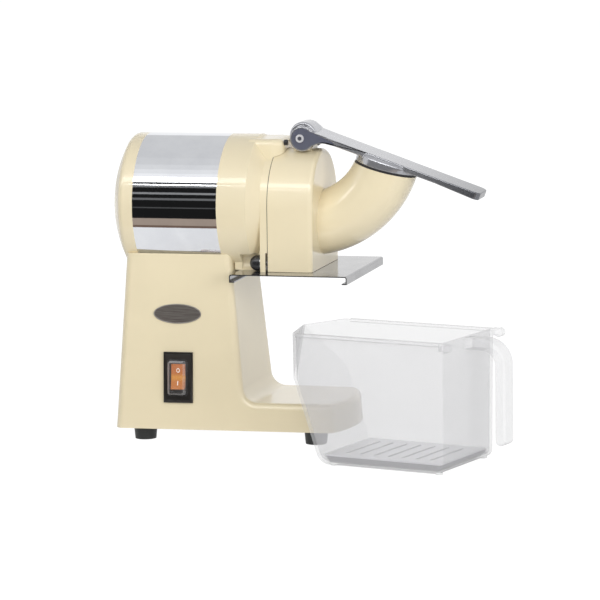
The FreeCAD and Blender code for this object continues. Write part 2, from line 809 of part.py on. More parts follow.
def make_fan(bearing_rear):
    """The cooling fan behind the end shield: a hub disc with radial blades."""
    body = new_body("fan_body")
    back = bearing_rear - 1
    front = back - d.fan_width
    hub = outline(body, "fan_hub", "XZ_Plane", [
        (front, d.shaft_radius), (back, d.shaft_radius), (back, d.shaft_radius * 2),
        (front + 2, d.shaft_radius * 2), (front + 2, d.fan_radius), (front, d.fan_radius)])
    revolve(body, hub)
    doc.recompute()
    blade = outline(body, "fan_blade", "YZ_Plane", [
        (-1.2, d.shaft_radius * 1.9), (1.2, d.shaft_radius * 1.9),
        (1.2, d.fan_radius), (-1.2, d.fan_radius)], front + 1)
    first = pad(body, blade, d.fan_width - 1)
    blades = body.newObject("PartDesign::PolarPattern", "fan_blades_round")
    blades.Originals = [first]
    blades.Axis = (origin_plane(body, "X_Axis"), [""])
    blades.Angle = 360.0
    blades.Occurrences = int(d.fan_blades.value)
    body.Tip = blades
    place(body, 0, 0, d.axis_height)
    keep("cooling_fan", body)


def frame_bolt_places():
    """The four bolts of the motor frame's flange, across and up from the motor axis."""
    reach = d.frame_radius + d.frame_wall
    corner = reach * sine(Size(45.0))
    return [(corner * i, corner * j) for i in (-1, 1) for j in (-1, 1)]


def make_frame_bolts():
    """Four bolts that hold the motor frame's flange against the crusher housing."""
    bolts = []
    for across, up in frame_bolt_places():
        bolts.append(screw("frame_bolt_%d" % len(bolts), d.screw_radius - 0.02,
                           d.frame_wall + 6, d.screw_radius * 1.6, 3.5,
                           band_front - d.frame_wall, across, d.axis_height + up, TO_X))
    keep("motor_frame_bolts", group("motor_frame_bolts", *bolts))


# ---------------------------------------------------------------- crusher housing
def d_shape(name, radius, bottom, start, length, edge=None):
    """A prism with a round top about the motor axis and straight sides down to a flat base."""
    body = new_body(name + "_body")
    low = bottom - d.axis_height
    shape = outline(body, name + "_outline", "YZ_Plane", [
        (-radius, low), (radius, low), (radius, 0), (0, radius, radius), (-radius, 0, radius)],
        start)
    pad(body, shape, length)
    doc.recompute()
    if edge is not None:
        front = (start + length).value
        round_edges(body, name + "_front_edge", edge,
                    lambda e: abs(e.BoundBox.XMin - front) < 0.01
                    and abs(e.BoundBox.XMax - front) < 0.01
                    and e.BoundBox.ZMax > low.value + 1)
    place(body, 0, 0, d.axis_height)
    return body


def make_crusher_housing():
    """Flange, cone and D-shaped neck in one casting, with the bearing boss, the crushing
    chamber, the top lug that hooks over the cover and the ears for the clamp knobs."""
    spigot_outer = d.band_radius - d.band_wall - d.seat / 3
    turned = ring("housing_turned", [
        (band_front, d.bearing_radius), (web_front + 6, d.bearing_radius),
        (web_front + 6, d.shaft_radius + 2), (web_front + 12, d.shaft_radius + 2),
        (web_front + 12, d.bearing_radius + 6), (web_front, d.bearing_radius + 12),
        (web_front, d.chamber_radius), (parting_x, d.chamber_radius),
        (parting_x, d.neck_radius), (neck_start, d.neck_radius),
        (cone_start, d.band_radius), (band_front, d.band_radius),
        (band_front, spigot_outer), (band_front - 6, spigot_outer),
        (band_front - 6, spigot_outer - 4), (band_front, spigot_outer - 4)])
    ears = d_shape("housing_ears", d.neck_radius, plate_top, neck_start, d.neck_length)
    chamber = cylinder("chamber_space", d.chamber_radius, parting_x - web_front,
                       web_front, 0, d.axis_height, TO_X)
    lug = make_lug()
    lug_room = cylinder("lug_room", d.neck_radius + d.seat * 2, d.lug_reach + 1,
                        parting_x, 0, d.axis_height, TO_X)
    lug_core = cylinder("lug_core", d.neck_radius - 1, d.cone_length + d.neck_length + 12,
                        cone_start - 10, 0, d.axis_height, TO_X)
    rounded_lug = cut("housing_lug", lug, lug_room, lug_core)
    skirt = box("housing_skirt", d.column_front + 3, -d.outlet_half - 6,
                plate_top, parting_x - d.column_front - 3, (d.outlet_half + 6) * 2,
                d.axis_height - d.chamber_radius - plate_top + 14)
    whole = fuse("housing_whole", cut("housing_ears_open", ears, chamber), turned, rounded_lug,
                 cut("housing_skirt_open", skirt, cylinder(
                     "skirt_chamber", d.chamber_radius, 200, web_front, 0, d.axis_height, TO_X)))
    below = box("housing_below", d.column_front + 1, -100, 100, 100, 200, plate_top - 100)
    reliefs = []
    for side, slot_y in ((-1, -80), (1, 48)):
        reliefs.append(cylinder("knob_relief_%d" % side, d.knob_relief, neck_start - 16, 16,
                                d.knob_offset * side, knob_height, TO_X))
        reliefs.append(box("ear_slot_%d" % side, parting_x - d.ear_gap, slot_y, plate_top - 5,
                           d.ear_gap + 1, 32, 27.5))
    outlet = box("housing_outlet", d.outlet_rear, -d.outlet_half, plate_top - 20,
                 parting_x - d.outlet_rear + 20, d.outlet_half * 2,
                 d.axis_height - plate_top - 20)
    stud_holes = []
    for side in (-1, 1):
        stud_holes.append(cylinder("stud_hole_%d" % side, d.stud_radius + d.seat, 60,
                                   neck_start - 10, d.knob_offset * side, knob_height, TO_X))
    bolt_holes = []
    for across, up in frame_bolt_places():
        bolt_holes.append(cylinder("frame_bolt_hole_%d" % len(bolt_holes), d.screw_radius, 8,
                                   band_front - 1, across, d.axis_height + up, TO_X))
    plate_holes = []
    for x, y in plate_screw_places():
        plate_holes.append(cylinder("plate_hole_%d" % len(plate_holes), d.screw_radius, 9,
                                    x, y, plate_top - 1))
    housing = cut("housing_cut", whole, below, outlet,
                  *(reliefs + stud_holes + bolt_holes + plate_holes))
    keep("crusher_housing", housing)


def make_lug():
    """The block on top of the housing; its front narrows and reaches over the cover."""
    body = new_body("lug_body")
    rear = cone_start - 8
    front = parting_x + d.lug_reach
    plan = outline(body, "lug_plan", "XY_Plane", [
        (rear, -d.lug_half), (parting_x, -d.lug_half), (front, -d.lug_front_half),
        (front, d.lug_front_half), (parting_x, d.lug_half), (rear, d.lug_half)],
        d.axis_height)
    pad(body, plan, lug_top - d.axis_height)
    top = lug_top.value
    round_edges(body, "lug_upright_edges", d.lug_edge_radius,
                lambda e: e.BoundBox.ZLength > 20 and e.BoundBox.XMin > parting_x.value - 1)
    round_edges(body, "lug_top_edges", d.lug_edge_radius,
                lambda e: e.BoundBox.ZMin > top - 0.01 and e.BoundBox.XMax > rear.value + 1)
    return body


def plate_screw_places():
    """Where the deflector plate is screwed up into the housing's skirt and ears."""
    rear = d.outlet_rear - 5.5
    front = neck_start + d.neck_length / 2
    return [(rear, -20), (rear, 20), (front, -d.neck_radius + 4.5), (front, d.neck_radius - 4.5)]


def make_shaft_seal():
    start = band_front + d.bearing_width
    stop = web_front + 6
    bore = d.shaft_radius + d.shaft_clearance
    keep("shaft_seal", ring("shaft_seal", [
        (start, bore), (stop, bore), (stop, d.bearing_radius), (start, d.bearing_radius)]))


# ---------------------------------------------------------------- crushing disc
def make_crushing_disc():
    """The disc with one long slot in front of each toothed blade."""
    body = new_body("disc_body")
    bore = d.shaft_radius * 0.75
    profile = outline(body, "disc_profile", "XZ_Plane", [
        (disc_rear, bore), (disc_front, bore), (disc_front, d.disc_radius - 1.5),
        (disc_front - 1.5, d.disc_radius), (disc_rear, d.disc_radius),
        (disc_rear, d.disc_radius - 6), (disc_rear + 2, d.disc_radius - 6),
        (disc_rear + 2, d.shaft_radius * 2), (disc_rear, d.shaft_radius * 2)])
    revolve(body, profile)
    doc.recompute()
    inner = d.shaft_radius * 2 + 1
    slot = outline(body, "disc_slot", "YZ_Plane", [
        (d.blade_thickness / 2 + 0.2, inner), (d.blade_thickness / 2 + 9, inner + 4),
        (d.blade_thickness / 2 + 9, d.disc_radius - 9),
        (d.blade_thickness / 2 + 0.2, d.disc_radius - 5)], disc_rear)
    first = pocket(body, slot, d.disc_thickness, reverse=True)
    slots = body.newObject("PartDesign::PolarPattern", "disc_slots")
    slots.Originals = [first]
    slots.Axis = (origin_plane(body, "X_Axis"), [""])
    slots.Angle = 360.0
    slots.Occurrences = int(d.blade_count.value)
    body.Tip = slots
    place(body, 0, 0, d.axis_height)
    keep("crushing_disc", body)


def make_blades():
    """Toothed blades that stand on the disc's face, each beside its slot."""
    count = int(d.blade_count.value)
    teeth = int(d.blade_teeth.value)
    inner = d.shaft_radius * 2 + 1
    blades = []
    for i in range(count):
        body = new_body("blade_%d_body" % i)
        points = [(disc_front, inner)]
        for tooth in range(teeth):
            low = inner + d.tooth_pitch * tooth
            points.append((disc_front + 1.2, low))
            points.append((disc_front + d.tooth_height, low + d.tooth_pitch * 0.35))
            points.append((disc_front + d.tooth_height, low + d.tooth_pitch * 0.55))
        points.append((disc_front + 1.2, inner + d.tooth_pitch * teeth))
        points.append((disc_front, inner + d.tooth_pitch * teeth))
        profile = outline(body, "blade_%d_profile" % i, "XZ_Plane", points)
        pad(body, profile, d.blade_thickness, midplane=True)
        place(body, 0, 0, d.axis_height, Rotation(Vector(1, 0, 0), 360.0 * i / count))
        blades.append(body)
    keep("crusher_blades", group("crusher_blades", *blades))


def make_disc_nut():
    """A domed nut that holds the disc on the shaft's end."""
    body = new_body("disc_nut_body")
    across = d.shaft_radius * 1.45
    start = disc_front
    thread = d.shaft_radius * 0.75
    profile = outline(body, "disc_nut_profile", "XZ_Plane", [
        (start, thread), (start + d.tooth_height + 1, thread),
        (start + d.tooth_height + 1, 0), (start + d.tooth_height + 3.5, 0),
        (start + d.tooth_height + 1.5, across * 0.8), (start + d.tooth_height - 1, across),
        (start, across)])
    revolve(body, profile)
    place(body, 0, 0, d.axis_height)
    keep("disc_nut", body)


# ---------------------------------------------------------------- hopper cover
def torus(name, radius, sweep, start_angle):
    """A ring segment round the lever's pivot, in the machine's middle plane, from a start
    angle above the horizontal and down by a sweep, both in degrees."""
    obj = doc.addObject("Part::Torus", name)
    obj.Radius1 = bind(obj, "Radius1", d.elbow_path)
    obj.Radius2 = bind(obj, "Radius2", radius)
    obj.Angle3 = bind(obj, "Angle3", sweep)
    turn = Rotation(Vector(0, 1, 0), -start_angle.value).multiply(TO_MINUS_Y_RING)
    return place(obj, d.pivot_x, 0, pivot_z, turn)


# The ring's own plane is XY and it sweeps from +X towards +Y; this turns +Y to -Z.
TO_MINUS_Y_RING = Rotation(Vector(1, 0, 0), -90)


def beyond_mouth(name):
    """A block that stands on the plane of the hopper's mouth."""
    reach = d.elbow_radius + 6
    turn = Rotation(Vector(0, 1, 0), mouth_tilt.value)
    return box(name, mouth_x - reach * cosine(mouth_tilt), -reach,
               mouth_z + reach * sine(mouth_tilt), reach * 2, reach * 2, Size(30.0), turn)


def make_hopper_cover():
    """The D-shaped cover and the elbow that feeds ice to the disc, in one casting."""
    outer = d_shape("cover_outer", d.neck_radius, cover_bottom, cover_start, d.cover_length,
                    d.cover_edge_radius)
    inner = d_shape("cover_inner", d.neck_radius - d.cover_wall, cover_bottom - 30,
                    cover_start - 1, d.cover_length - d.cover_wall + 1)
    shell = cut("cover_shell", outer, inner)
    sweep = 90 - d.lever_tilt
    start = -d.lever_tilt
    elbow = torus("elbow_outer", d.elbow_radius, sweep, start)
    feed = cylinder("feed_outer", d.elbow_radius, d.pivot_x - bore_end, bore_end, 0, elbow_low, TO_X)
    bore = torus("elbow_inner", bore_radius, sweep, start)
    feed_bore = cylinder("feed_inner", bore_radius, d.pivot_x - bore_end + 2, bore_end - 2,
                         0, elbow_low, TO_X)
    foot = d.axis_height + d.neck_radius - 4
    ear = fuse("cover_ear",
               cylinder("ear_round", d.ear_radius, d.ear_half * 2, d.pivot_x, d.ear_half,
                        pivot_z, TO_MINUS_Y),
               box("ear_block", d.pivot_x - d.ear_radius, -d.ear_half, foot,
                   d.ear_radius * 2, d.ear_half * 2, pivot_z - foot))
    solid = fuse("cover_solid", shell, elbow, feed, ear)
    pin_bore = cylinder("pin_bore", d.pin_radius + d.shaft_clearance, d.ear_half * 2 + 4,
                        d.pivot_x, d.ear_half + 2, pivot_z, TO_MINUS_Y)
    above_mouth = beyond_mouth("above_mouth")
    stud_holes = []
    for side in (-1, 1):
        stud_holes.append(cylinder("cover_stud_hole_%d" % side, d.stud_radius, 12,
                                   cover_start - 1, d.knob_offset * side, knob_height, TO_X))
    bosses = []
    for side in (-1, 1):
        bosses.append(cylinder("stud_boss_%d" % side, d.stud_radius + 4, 16, cover_start,
                               d.knob_offset * side, knob_height, TO_X))
    inside = cylinder("boss_limit", d.neck_radius * 3, 20, cover_start, 0, d.axis_height, TO_X)
    walls = d_shape("boss_walls", d.neck_radius - 1, cover_bottom, cover_start, Size(20.0))
    with_bosses = fuse("cover_with_bosses", solid,
                       common("bosses_trimmed", fuse("bosses", *bosses), inside, walls))
    keep("hopper_cover", cut("hopper_cover_cut", with_bosses, bore, feed_bore, pin_bore,
                             above_mouth, *stud_holes))


def make_cover_gasket():
    """The thin seal in the joint between housing and cover."""
    outer = d_shape("gasket_outer", d.neck_radius - 0.6, cover_bottom, parting_x,
                    d.gasket_thickness)
    inner = d_shape("gasket_inner", d.chamber_radius + 0.5, cover_bottom - 30, parting_x - 1,
                    d.gasket_thickness + 2)
    studs = []
    for side in (-1, 1):
        studs.append(cylinder("gasket_stud_hole_%d" % side, d.stud_radius + 0.3, 10,
                              parting_x - 4, d.knob_offset * side, knob_height, TO_X))
    keep("cover_gasket", cut("gasket_cut", outer, inner, *studs))


# ---------------------------------------------------------------- clamp knobs
def make_clamps():
    """Two domed knobs behind the ears; each turns on a stud fixed in the cover."""
    studs = []
    washers = []
    knob_front = neck_start - 1.3
    for side, word in ((-1, "near"), (1, "far")):
        body = new_body("knob_%s_body" % word)
        dome = d.knob_length * 0.72
        sphere = (d.knob_radius * d.knob_radius + dome * dome) / (dome * 2)
        profile = outline(body, "knob_%s_profile" % word, "XZ_Plane", [
            (0, d.stud_radius + d.shaft_clearance), (0, d.knob_radius),
            (dome - d.knob_length, d.knob_radius),
            (1.5 - d.knob_length, d.stud_radius + 1, sphere),
            (4 - d.knob_length, d.stud_radius + 1),
            (4 - d.knob_length, d.stud_radius + d.shaft_clearance)])
        revolve(body, profile)
        place(body, knob_front, d.knob_offset * side, knob_height)
        keep("clamp_knob_" + word, body)
        studs.append(cylinder("clamp_stud_" + word, d.stud_radius - 0.01,
                              cover_start + 9 - knob_front + d.knob_length - 5,
                              knob_front - d.knob_length + 5, d.knob_offset * side,
                              knob_height, TO_X))
        washers.append(cut("clamp_washer_" + word,
                           cylinder("washer_outer_" + word, d.knob_radius - 1, 1.2,
                                    neck_start - 1.25, d.knob_offset * side, knob_height, TO_X),
                           cylinder("washer_hole_" + word, d.stud_radius + 0.2, 4,
                                    neck_start - 3, d.knob_offset * side, knob_height, TO_X)))
    keep("clamp_studs", group("clamp_studs", *studs))
    keep("clamp_washers", group("clamp_washers", *washers))


# ---------------------------------------------------------------- deflector plate
def make_deflector_plate():
    """A folded sheet under the crusher; its two ends turn down and in to carry the bin."""
    body = new_body("plate_body")
    t = d.plate_thickness
    rear, front = d.plate_rear, d.plate_rear + d.plate_length
    top = plate_top
    drop = top - d.runner_drop
    bend = d.plate_bend
    section = outline(body, "plate_section", "XZ_Plane", [
        (rear, drop), (rear + d.runner_return, drop), (rear + d.runner_return, drop + t),
        (rear + t, drop + t), (rear + t, top - bend), (rear + bend, top - t, t - bend),
        (front - bend, top - t), (front - t, top - bend, t - bend),
        (front - t, drop + t), (front - d.runner_return, drop + t),
        (front - d.runner_return, drop), (front, drop), (front, top - bend),
        (front - bend, top, bend), (rear + bend, top), (rear, top - bend, bend)])
    pad(body, section, d.plate_half * 2, midplane=True)
    hole_front = cover_front - d.cover_wall - 2
    hole = outline(body, "plate_outlet", "XY_Plane", [
        (d.outlet_rear + 2, -d.outlet_half), (hole_front, -d.outlet_half),
        (hole_front, d.outlet_half), (d.outlet_rear + 2, d.outlet_half)], top)
    pocket(body, hole, t * 2)
    screws = circles(body, "plate_screw_holes", "XY_Plane",
                     [(x, y, d.screw_radius + 0.2) for x, y in plate_screw_places()], top)
    pocket(body, screws, t * 2)
    keep("deflector_plate", body)
    screws = []
    for x, y in plate_screw_places():
        screws.append(screw("plate_screw_%d" % len(screws), d.screw_radius - 0.02, 7,
                            d.screw_radius * 1.7, 1.8, x, y, plate_underside))
    keep("plate_screws", group("plate_screws", *screws))


# ---------------------------------------------------------------- lever
def lever_frame(body):
    """Stands a piece drawn along the lever's own X and Z at the pivot, closed."""
    turn = Rotation(Vector(0, 1, 0), d.lever_tilt.value)
    return place(body, d.pivot_x, 0, pivot_z, turn)


def teardrop(body, name, role, margin, offset):
    """The side recess of the hub, which runs out along the arm."""
    radius = d.inlay_radius + margin
    x, z = d.hub_reach, d.hub_lift
    lip = Size(1.7) - margin
    reach = d.inlay_reach + margin
    tail_top = d.arm_top - d.arm_edge_radius - lip
    return outline(body, name, role, [
        (x, z - radius, radius),
        (x + radius * 0.7, z - radius * 0.714, radius),
        (d.inlay_reach - 2, d.arm_bottom + lip, -d.throat_radius - lip),
        (reach, d.arm_bottom + lip),
        (reach, tail_top),
        (x + radius * 0.4, z + radius * 0.9165),
        (x - radius, z, radius)], offset)


def make_lever():
    """The cast lever: a forked hub, a hollow-backed arm, the round lid and a thick grip end."""
    body = new_body("lever_body")
    cheeks = circles(body, "lever_hub", "XZ_Plane", [(d.hub_reach, d.hub_lift, d.hub_radius)])
    pad(body, cheeks, d.lever_half * 2, midplane=True)
    round_edges(body, "lever_hub_edges", d.hub_edge_radius,
                lambda e: e.BoundBox.ZLength > d.hub_radius.value)
    crown_half = d.ear_half + 2.6
    crown = circles(body, "lever_crown", "XZ_Plane", [(0, d.crown_lift, d.crown_radius)])
    pad(body, crown, crown_half * 2, midplane=True)
    round_edges(body, "lever_crown_edges", d.crown_edge_radius,
                lambda e: abs(abs(middle(e).y) - crown_half.value) < 0.01
                and abs(e.Curve.Radius - d.crown_radius.value) < 0.01)
    tip = d.lever_length
    tip_low = d.arm_bottom - d.tip_drop
    arm = outline(body, "lever_arm", "XZ_Plane", [
        (d.hub_reach, d.hub_lift),
        (12, -10.1),
        (38, d.arm_bottom, -d.throat_radius),
        (tip - d.tip_length, d.arm_bottom),
        (tip, tip_low),
        (tip, d.arm_top),
        (d.hub_reach + 9, d.arm_top)])
    pad(body, arm, d.lever_half * 2, midplane=True)
    corner = d.tip_corner_radius
    for side in (-1, 1):
        root_y = d.lever_half * side
        tip_y = d.lever_tip_half * side
        far_y = (d.lever_half + 20) * side
        strip = outline(body, "lever_taper_%s" % ("near" if side < 0 else "far"), "XY_Plane", [
            (30, root_y), (tip - corner, tip_y), (tip, tip_y - corner * side, corner * -side),
            (tip + 10, tip_y - corner * side), (tip + 10, far_y), (30, far_y)])
        pocket(body, strip, d.hub_radius * 6, midplane=True)
    doc.recompute()
    skin_low = d.arm_top - d.arm_skin
    back = outline(body, "lever_back", "XY_Plane", [
        (14, -d.lever_half + 9), (tip - 14, -d.lever_tip_half + 4),
        (tip - 14, d.lever_tip_half - 4), (14, d.lever_half - 9)], skin_low)
    pocket(body, back, d.hub_radius * 4)
    ear_gap = d.ear_half + 0.6
    slot = circles(body, "ear_slot", "XZ_Plane", [(0, 0, d.ear_radius + 0.7)])
    pocket(body, slot, ear_gap * 2, midplane=True)
    open_under = outline(body, "ear_slot_under", "XZ_Plane", [
        (-30, -30), (20, -30), (20, 0), (0, 0), (0, 9.4), (-30, 9.4)])
    pocket(body, open_under, ear_gap * 2, midplane=True)
    lid_low = d.lid_gasket + 0.1
    reach = d.lid_radius + 2
    rise = reach * sine(d.mouth_slant)
    lid = circles(body, "lid_rim", "XY_Plane", [(d.elbow_path, 0, d.lid_radius)],
                  -d.mouth_drop - rise)
    pad(body, lid, d.arm_top - 1.6 + d.mouth_drop + rise)
    round_edges(body, "lid_edges", d.lid_edge_radius,
                lambda e: e.BoundBox.XLength > 20 and e.BoundBox.ZLength < 0.01
                and abs(e.BoundBox.ZMin - (d.arm_top.value - 1.6)) < 0.01
                and e.Curve.TypeId == "Part::GeomCircle"
                and abs(e.Curve.Radius - d.lid_radius.value) < 0.01)
    run = reach * cosine(d.mouth_slant)
    aside = d.elbow_path - lid_low * sine(d.mouth_slant)
    level = lid_low * cosine(d.mouth_slant) - d.mouth_drop
    under_lid = outline(body, "under_lid", "XZ_Plane", [
        (aside - run, level - rise), (aside - run, -d.lid_radius),
        (aside + run, -d.lid_radius), (aside + run, level + rise)])
    pocket(body, under_lid, d.lid_radius * 4, midplane=True)
    for side, word in ((-1, "near"), (1, "far")):
        face = (d.lever_half - d.inlay_depth) * -side
        recess = teardrop(body, "inlay_recess_" + word, "XZ_Plane", Size(0.1), face)
        pocket(body, recess, d.inlay_depth * 3, reverse=side < 0)
    pin = circles(body, "lever_pin_bore", "XZ_Plane", [(0, 0, d.pin_radius)])
    pocket(body, pin, d.lever_half * 3, midplane=True)
    keep("pusher_lever", lever_frame(body))


def make_lever_inlays():
    """Dark side covers that sit in the hub's recesses."""
    for side, word in ((-1, "near"), (1, "far")):
        body = new_body("inlay_%s_body" % word)
        face = (d.lever_half - d.inlay_depth) * -side
        shape = teardrop(body, "inlay_%s_shape" % word, "XZ_Plane", ZERO, face)
        pad(body, shape, d.inlay_depth - 0.4, reverse=side > 0)
        hole = circles(body, "inlay_%s_hole" % word, "XZ_Plane", [(0, 0, d.pin_radius + 0.1)])
        pocket(body, hole, d.lever_half * 3, midplane=True)
        keep("lever_side_cover_" + word, lever_frame(body))


def make_lever_pin():
    """The hinge pin, with a slotted round head that shows on each side."""
    head = d.pin_radius + 0.9
    out = d.lever_half + 0.5
    body = new_body("lever_pin_body")
    shank = circles(body, "pin_shank", "XZ_Plane", [(0, 0, d.pin_radius)])
    pad(body, shank, (d.lever_half - 0.4) * 2, midplane=True)
    for side, word in ((-1, "near"), (1, "far")):
        disc = circles(body, "pin_head_" + word, "XZ_Plane", [(0, 0, head)],
                       (d.lever_half - 0.4) * -side)
        pad(body, disc, 1.6, reverse=side > 0)
        slot = outline(body, "pin_slot_" + word, "XZ_Plane", [
            (-1.6, -0.6), (1.6, -0.6), (1.6, 0.6), (-1.6, 0.6)],
            (d.lever_half + 0.6) * -side)
        pocket(body, slot, 3.0, reverse=side < 0)
    keep("lever_pin", lever_frame(body))


def make_lid_seal():
    """A flat rubber ring under the lid; it closes the hopper's mouth."""
    body = new_body("lid_seal_body")
    rings = circles(body, "lid_seal_rings", "XY_Plane", [
        (0, 0, d.lid_radius - 0.4), (0, 0, bore_radius - 6)], 0.1)
    pad(body, rings, d.lid_gasket)
    turn = Rotation(Vector(0, 1, 0), mouth_tilt.value)
    keep("lid_seal", place(body, mouth_x, 0, mouth_z, turn))


def make_pusher():
    """The curved pusher under the lid: a rib bent round the pivot, ending in a round head."""
    angle = d.lever_tilt
    down = d.pusher_sweep
    head_angle = angle + down
    ring_outer = cylinder("rib_outer", d.elbow_path + 9, d.pusher_rib * 2, d.pivot_x,
                          d.pusher_rib, pivot_z, TO_MINUS_Y)
    ring_inner = cylinder("rib_inner", d.elbow_path - 9, d.pusher_rib * 2 + 2, d.pivot_x,
                          d.pusher_rib + 1, pivot_z, TO_MINUS_Y)
    whole_ring = cut("rib_ring", ring_outer, ring_inner)
    sector = doc.addObject("Part::Cylinder", "rib_sector")
    sector.Radius = bind(sector, "Radius", d.elbow_path * 2)
    sector.Height = bind(sector, "Height", d.pusher_rib * 4)
    sector.Angle = bind(sector, "Angle", down)
    turn = Rotation(Vector(0, 1, 0), angle.value).multiply(TO_MINUS_Y_RING)
    place(sector, d.pivot_x, -d.pusher_rib * 2, pivot_z, turn)
    rib = cut("pusher_rib_trimmed", common("pusher_rib_common", whole_ring, sector),
              beyond_mouth("above_rib"))
    head_turn = Rotation(Vector(0, 1, 0), head_angle.value)
    head = cylinder("pusher_head", d.pusher_radius, d.pusher_head,
                    d.pivot_x + d.elbow_path * cosine(head_angle), 0,
                    pivot_z - d.elbow_path * sine(head_angle),
                    head_turn)
    foot_turn = Rotation(Vector(0, 1, 0), mouth_tilt.value)
    flange = cylinder("pusher_flange", bore_radius - 7, d.lid_gasket + 0.1, mouth_x, 0, mouth_z,
                      foot_turn)
    below = cylinder("pusher_flange_low", bore_radius - 10, 3.0,
                     mouth_x - 3 * sine(mouth_tilt), 0, mouth_z - 3 * cosine(mouth_tilt),
                     foot_turn)
    keep("ice_pusher", fuse("ice_pusher_whole", rib, head, flange, below))


def make_lever_buffers():
    """Two small rubber pads on the front of the top lug, behind the lever's cheeks."""
    face = parting_x + d.lug_reach
    offset = (d.lever_half + d.ear_half) / 2
    pads = []
    for side, word in ((-1, "near"), (1, "far")):
        pads.append(cylinder("buffer_" + word, 3.4, 3.7, face, offset * side,
                             pivot_z - 5.5, TO_X))
    keep("lever_buffers", group("lever_buffers", *pads))


# ---------------------------------------------------------------- switch and badge
def near_face_frame(body, x, z, out=0.0):
    """Stands a piece, drawn flat in its own XZ plane, on the column's near face or out of it
    along the face's own normal."""
    plan = (d.stand_rear_half - d.stand_front_half) / stand_length
    lean = Rotation(Vector(1, 0, 0), -d.stand_draft.value)
    swing = Rotation(Vector(0, 0, 1), math.degrees(math.atan(plan.value)))
    turn = swing.multiply(lean)
    normal = turn.multVec(Vector(0, -1, 0))
    out = Size.of(out)
    return place(body, x + out * normal.x, out * normal.y - side_half(x, z),
                 z + out * normal.z, turn)


def slab(body, name, width, tall, thickness, start=0.0):
    """A rectangle in the body's XZ plane that stands out towards the user."""
    a, b = width / 2, tall / 2
    sketch = outline(body, name, "XZ_Plane",
                     [(-a, -b), (a, -b), (a, b), (-a, b)], start)
    return pad(body, sketch, thickness)


def make_switch():
    """Bezel, switch block, rocker and the clear splash hood over it."""
    x, z = -d.switch_x, d.switch_height
    bezel = new_body("bezel_body")
    slab(bezel, "bezel_slab", d.switch_width, d.switch_tall, d.bezel_thickness)
    window = outline(bezel, "bezel_window", "XZ_Plane", [
        (-d.rocker_width / 2 - 0.8, -d.rocker_tall / 2 - 0.8),
        (d.rocker_width / 2 + 0.8, -d.rocker_tall / 2 - 0.8),
        (d.rocker_width / 2 + 0.8, d.rocker_tall / 2 + 0.8),
        (-d.rocker_width / 2 - 0.8, d.rocker_tall / 2 + 0.8)])
    pocket(bezel, window, d.bezel_thickness * 3, midplane=True)
    keep("switch_bezel", near_face_frame(bezel, x, z))
    block = new_body("switch_block_body")
    slab(block, "block_slab", d.rocker_width, d.rocker_tall, d.switch_depth, -d.switch_depth)
    well = outline(block, "block_well", "XZ_Plane", [
        (-d.rocker_width / 2 + 1, -d.rocker_tall / 2 + 1),
        (d.rocker_width / 2 - 1, -d.rocker_tall / 2 + 1),
        (d.rocker_width / 2 - 1, d.rocker_tall / 2 - 1),
        (-d.rocker_width / 2 + 1, d.rocker_tall / 2 - 1)])
    pocket(block, well, 9.0)
    bearing = circles(block, "block_bearing", "YZ_Plane",
                      [(d.trunnion_depth, 0, d.trunnion_radius + d.shaft_clearance)])
    pocket(block, bearing, d.rocker_width + 2, midplane=True)
    keep("switch_block", near_face_frame(block, x, z))
    make_rocker(x, z)
    make_switch_hood(x, z)


def make_rocker(x, z):
    """The rocker: two slopes that meet in a shallow V, on a trunnion through the block."""
    body = new_body("rocker_body")
    half = d.rocker_tall / 2 - 1.8
    slope = tangent(d.rocker_tilt)
    face = -d.rocker_rise - d.trunnion_depth
    profile = outline(body, "rocker_profile", "YZ_Plane", [
        (face - half * slope * 0.5, -half),
        (3.6, -half * 0.6),
        (3.6, half * 0.6),
        (face - half * slope * 0.5, half),
        (face + half * slope * 0.5, 0)])
    pad(body, profile, d.rocker_width - 2.8, midplane=True)
    trunnion = circles(body, "rocker_trunnion", "YZ_Plane", [(0, 0, d.trunnion_radius)])
    pad(body, trunnion, d.rocker_width - 0.4, midplane=True)
    near_face_frame(body, x, z, -d.trunnion_depth)
    tilt = Rotation(Vector(1, 0, 0), -d.rocker_tilt.value)
    body.Placement.Rotation = body.Placement.Rotation.multiply(tilt)
    keep("switch_rocker", body)


def make_switch_hood(x, z):
    """A clear moulded hood: a flange under its edge and a raised box over the rocker."""
    body = new_body("hood_body")
    start = d.bezel_thickness + 0.05
    slab(body, "hood_box", d.hood_width, d.hood_tall, d.hood_rise, start)
    doc.recompute()
    front = -(start + d.hood_rise).value
    round_edges(body, "hood_round", 2.0,
                lambda e: abs(e.BoundBox.YMin - front) < 0.01 or abs(
                    e.tangentAt(e.FirstParameter).y) > 0.9)
    inner = outline(body, "hood_inner", "XZ_Plane", [
        (-d.hood_width / 2 + d.hood_wall, -d.hood_tall / 2 + d.hood_wall),
        (d.hood_width / 2 - d.hood_wall, -d.hood_tall / 2 + d.hood_wall),
        (d.hood_width / 2 - d.hood_wall, d.hood_tall / 2 - d.hood_wall),
        (-d.hood_width / 2 + d.hood_wall, d.hood_tall / 2 - d.hood_wall)],
        start + d.hood_rise - d.hood_wall)
    pocket(body, inner, d.hood_rise * 3)
    keep("switch_hood", near_face_frame(body, x, z))


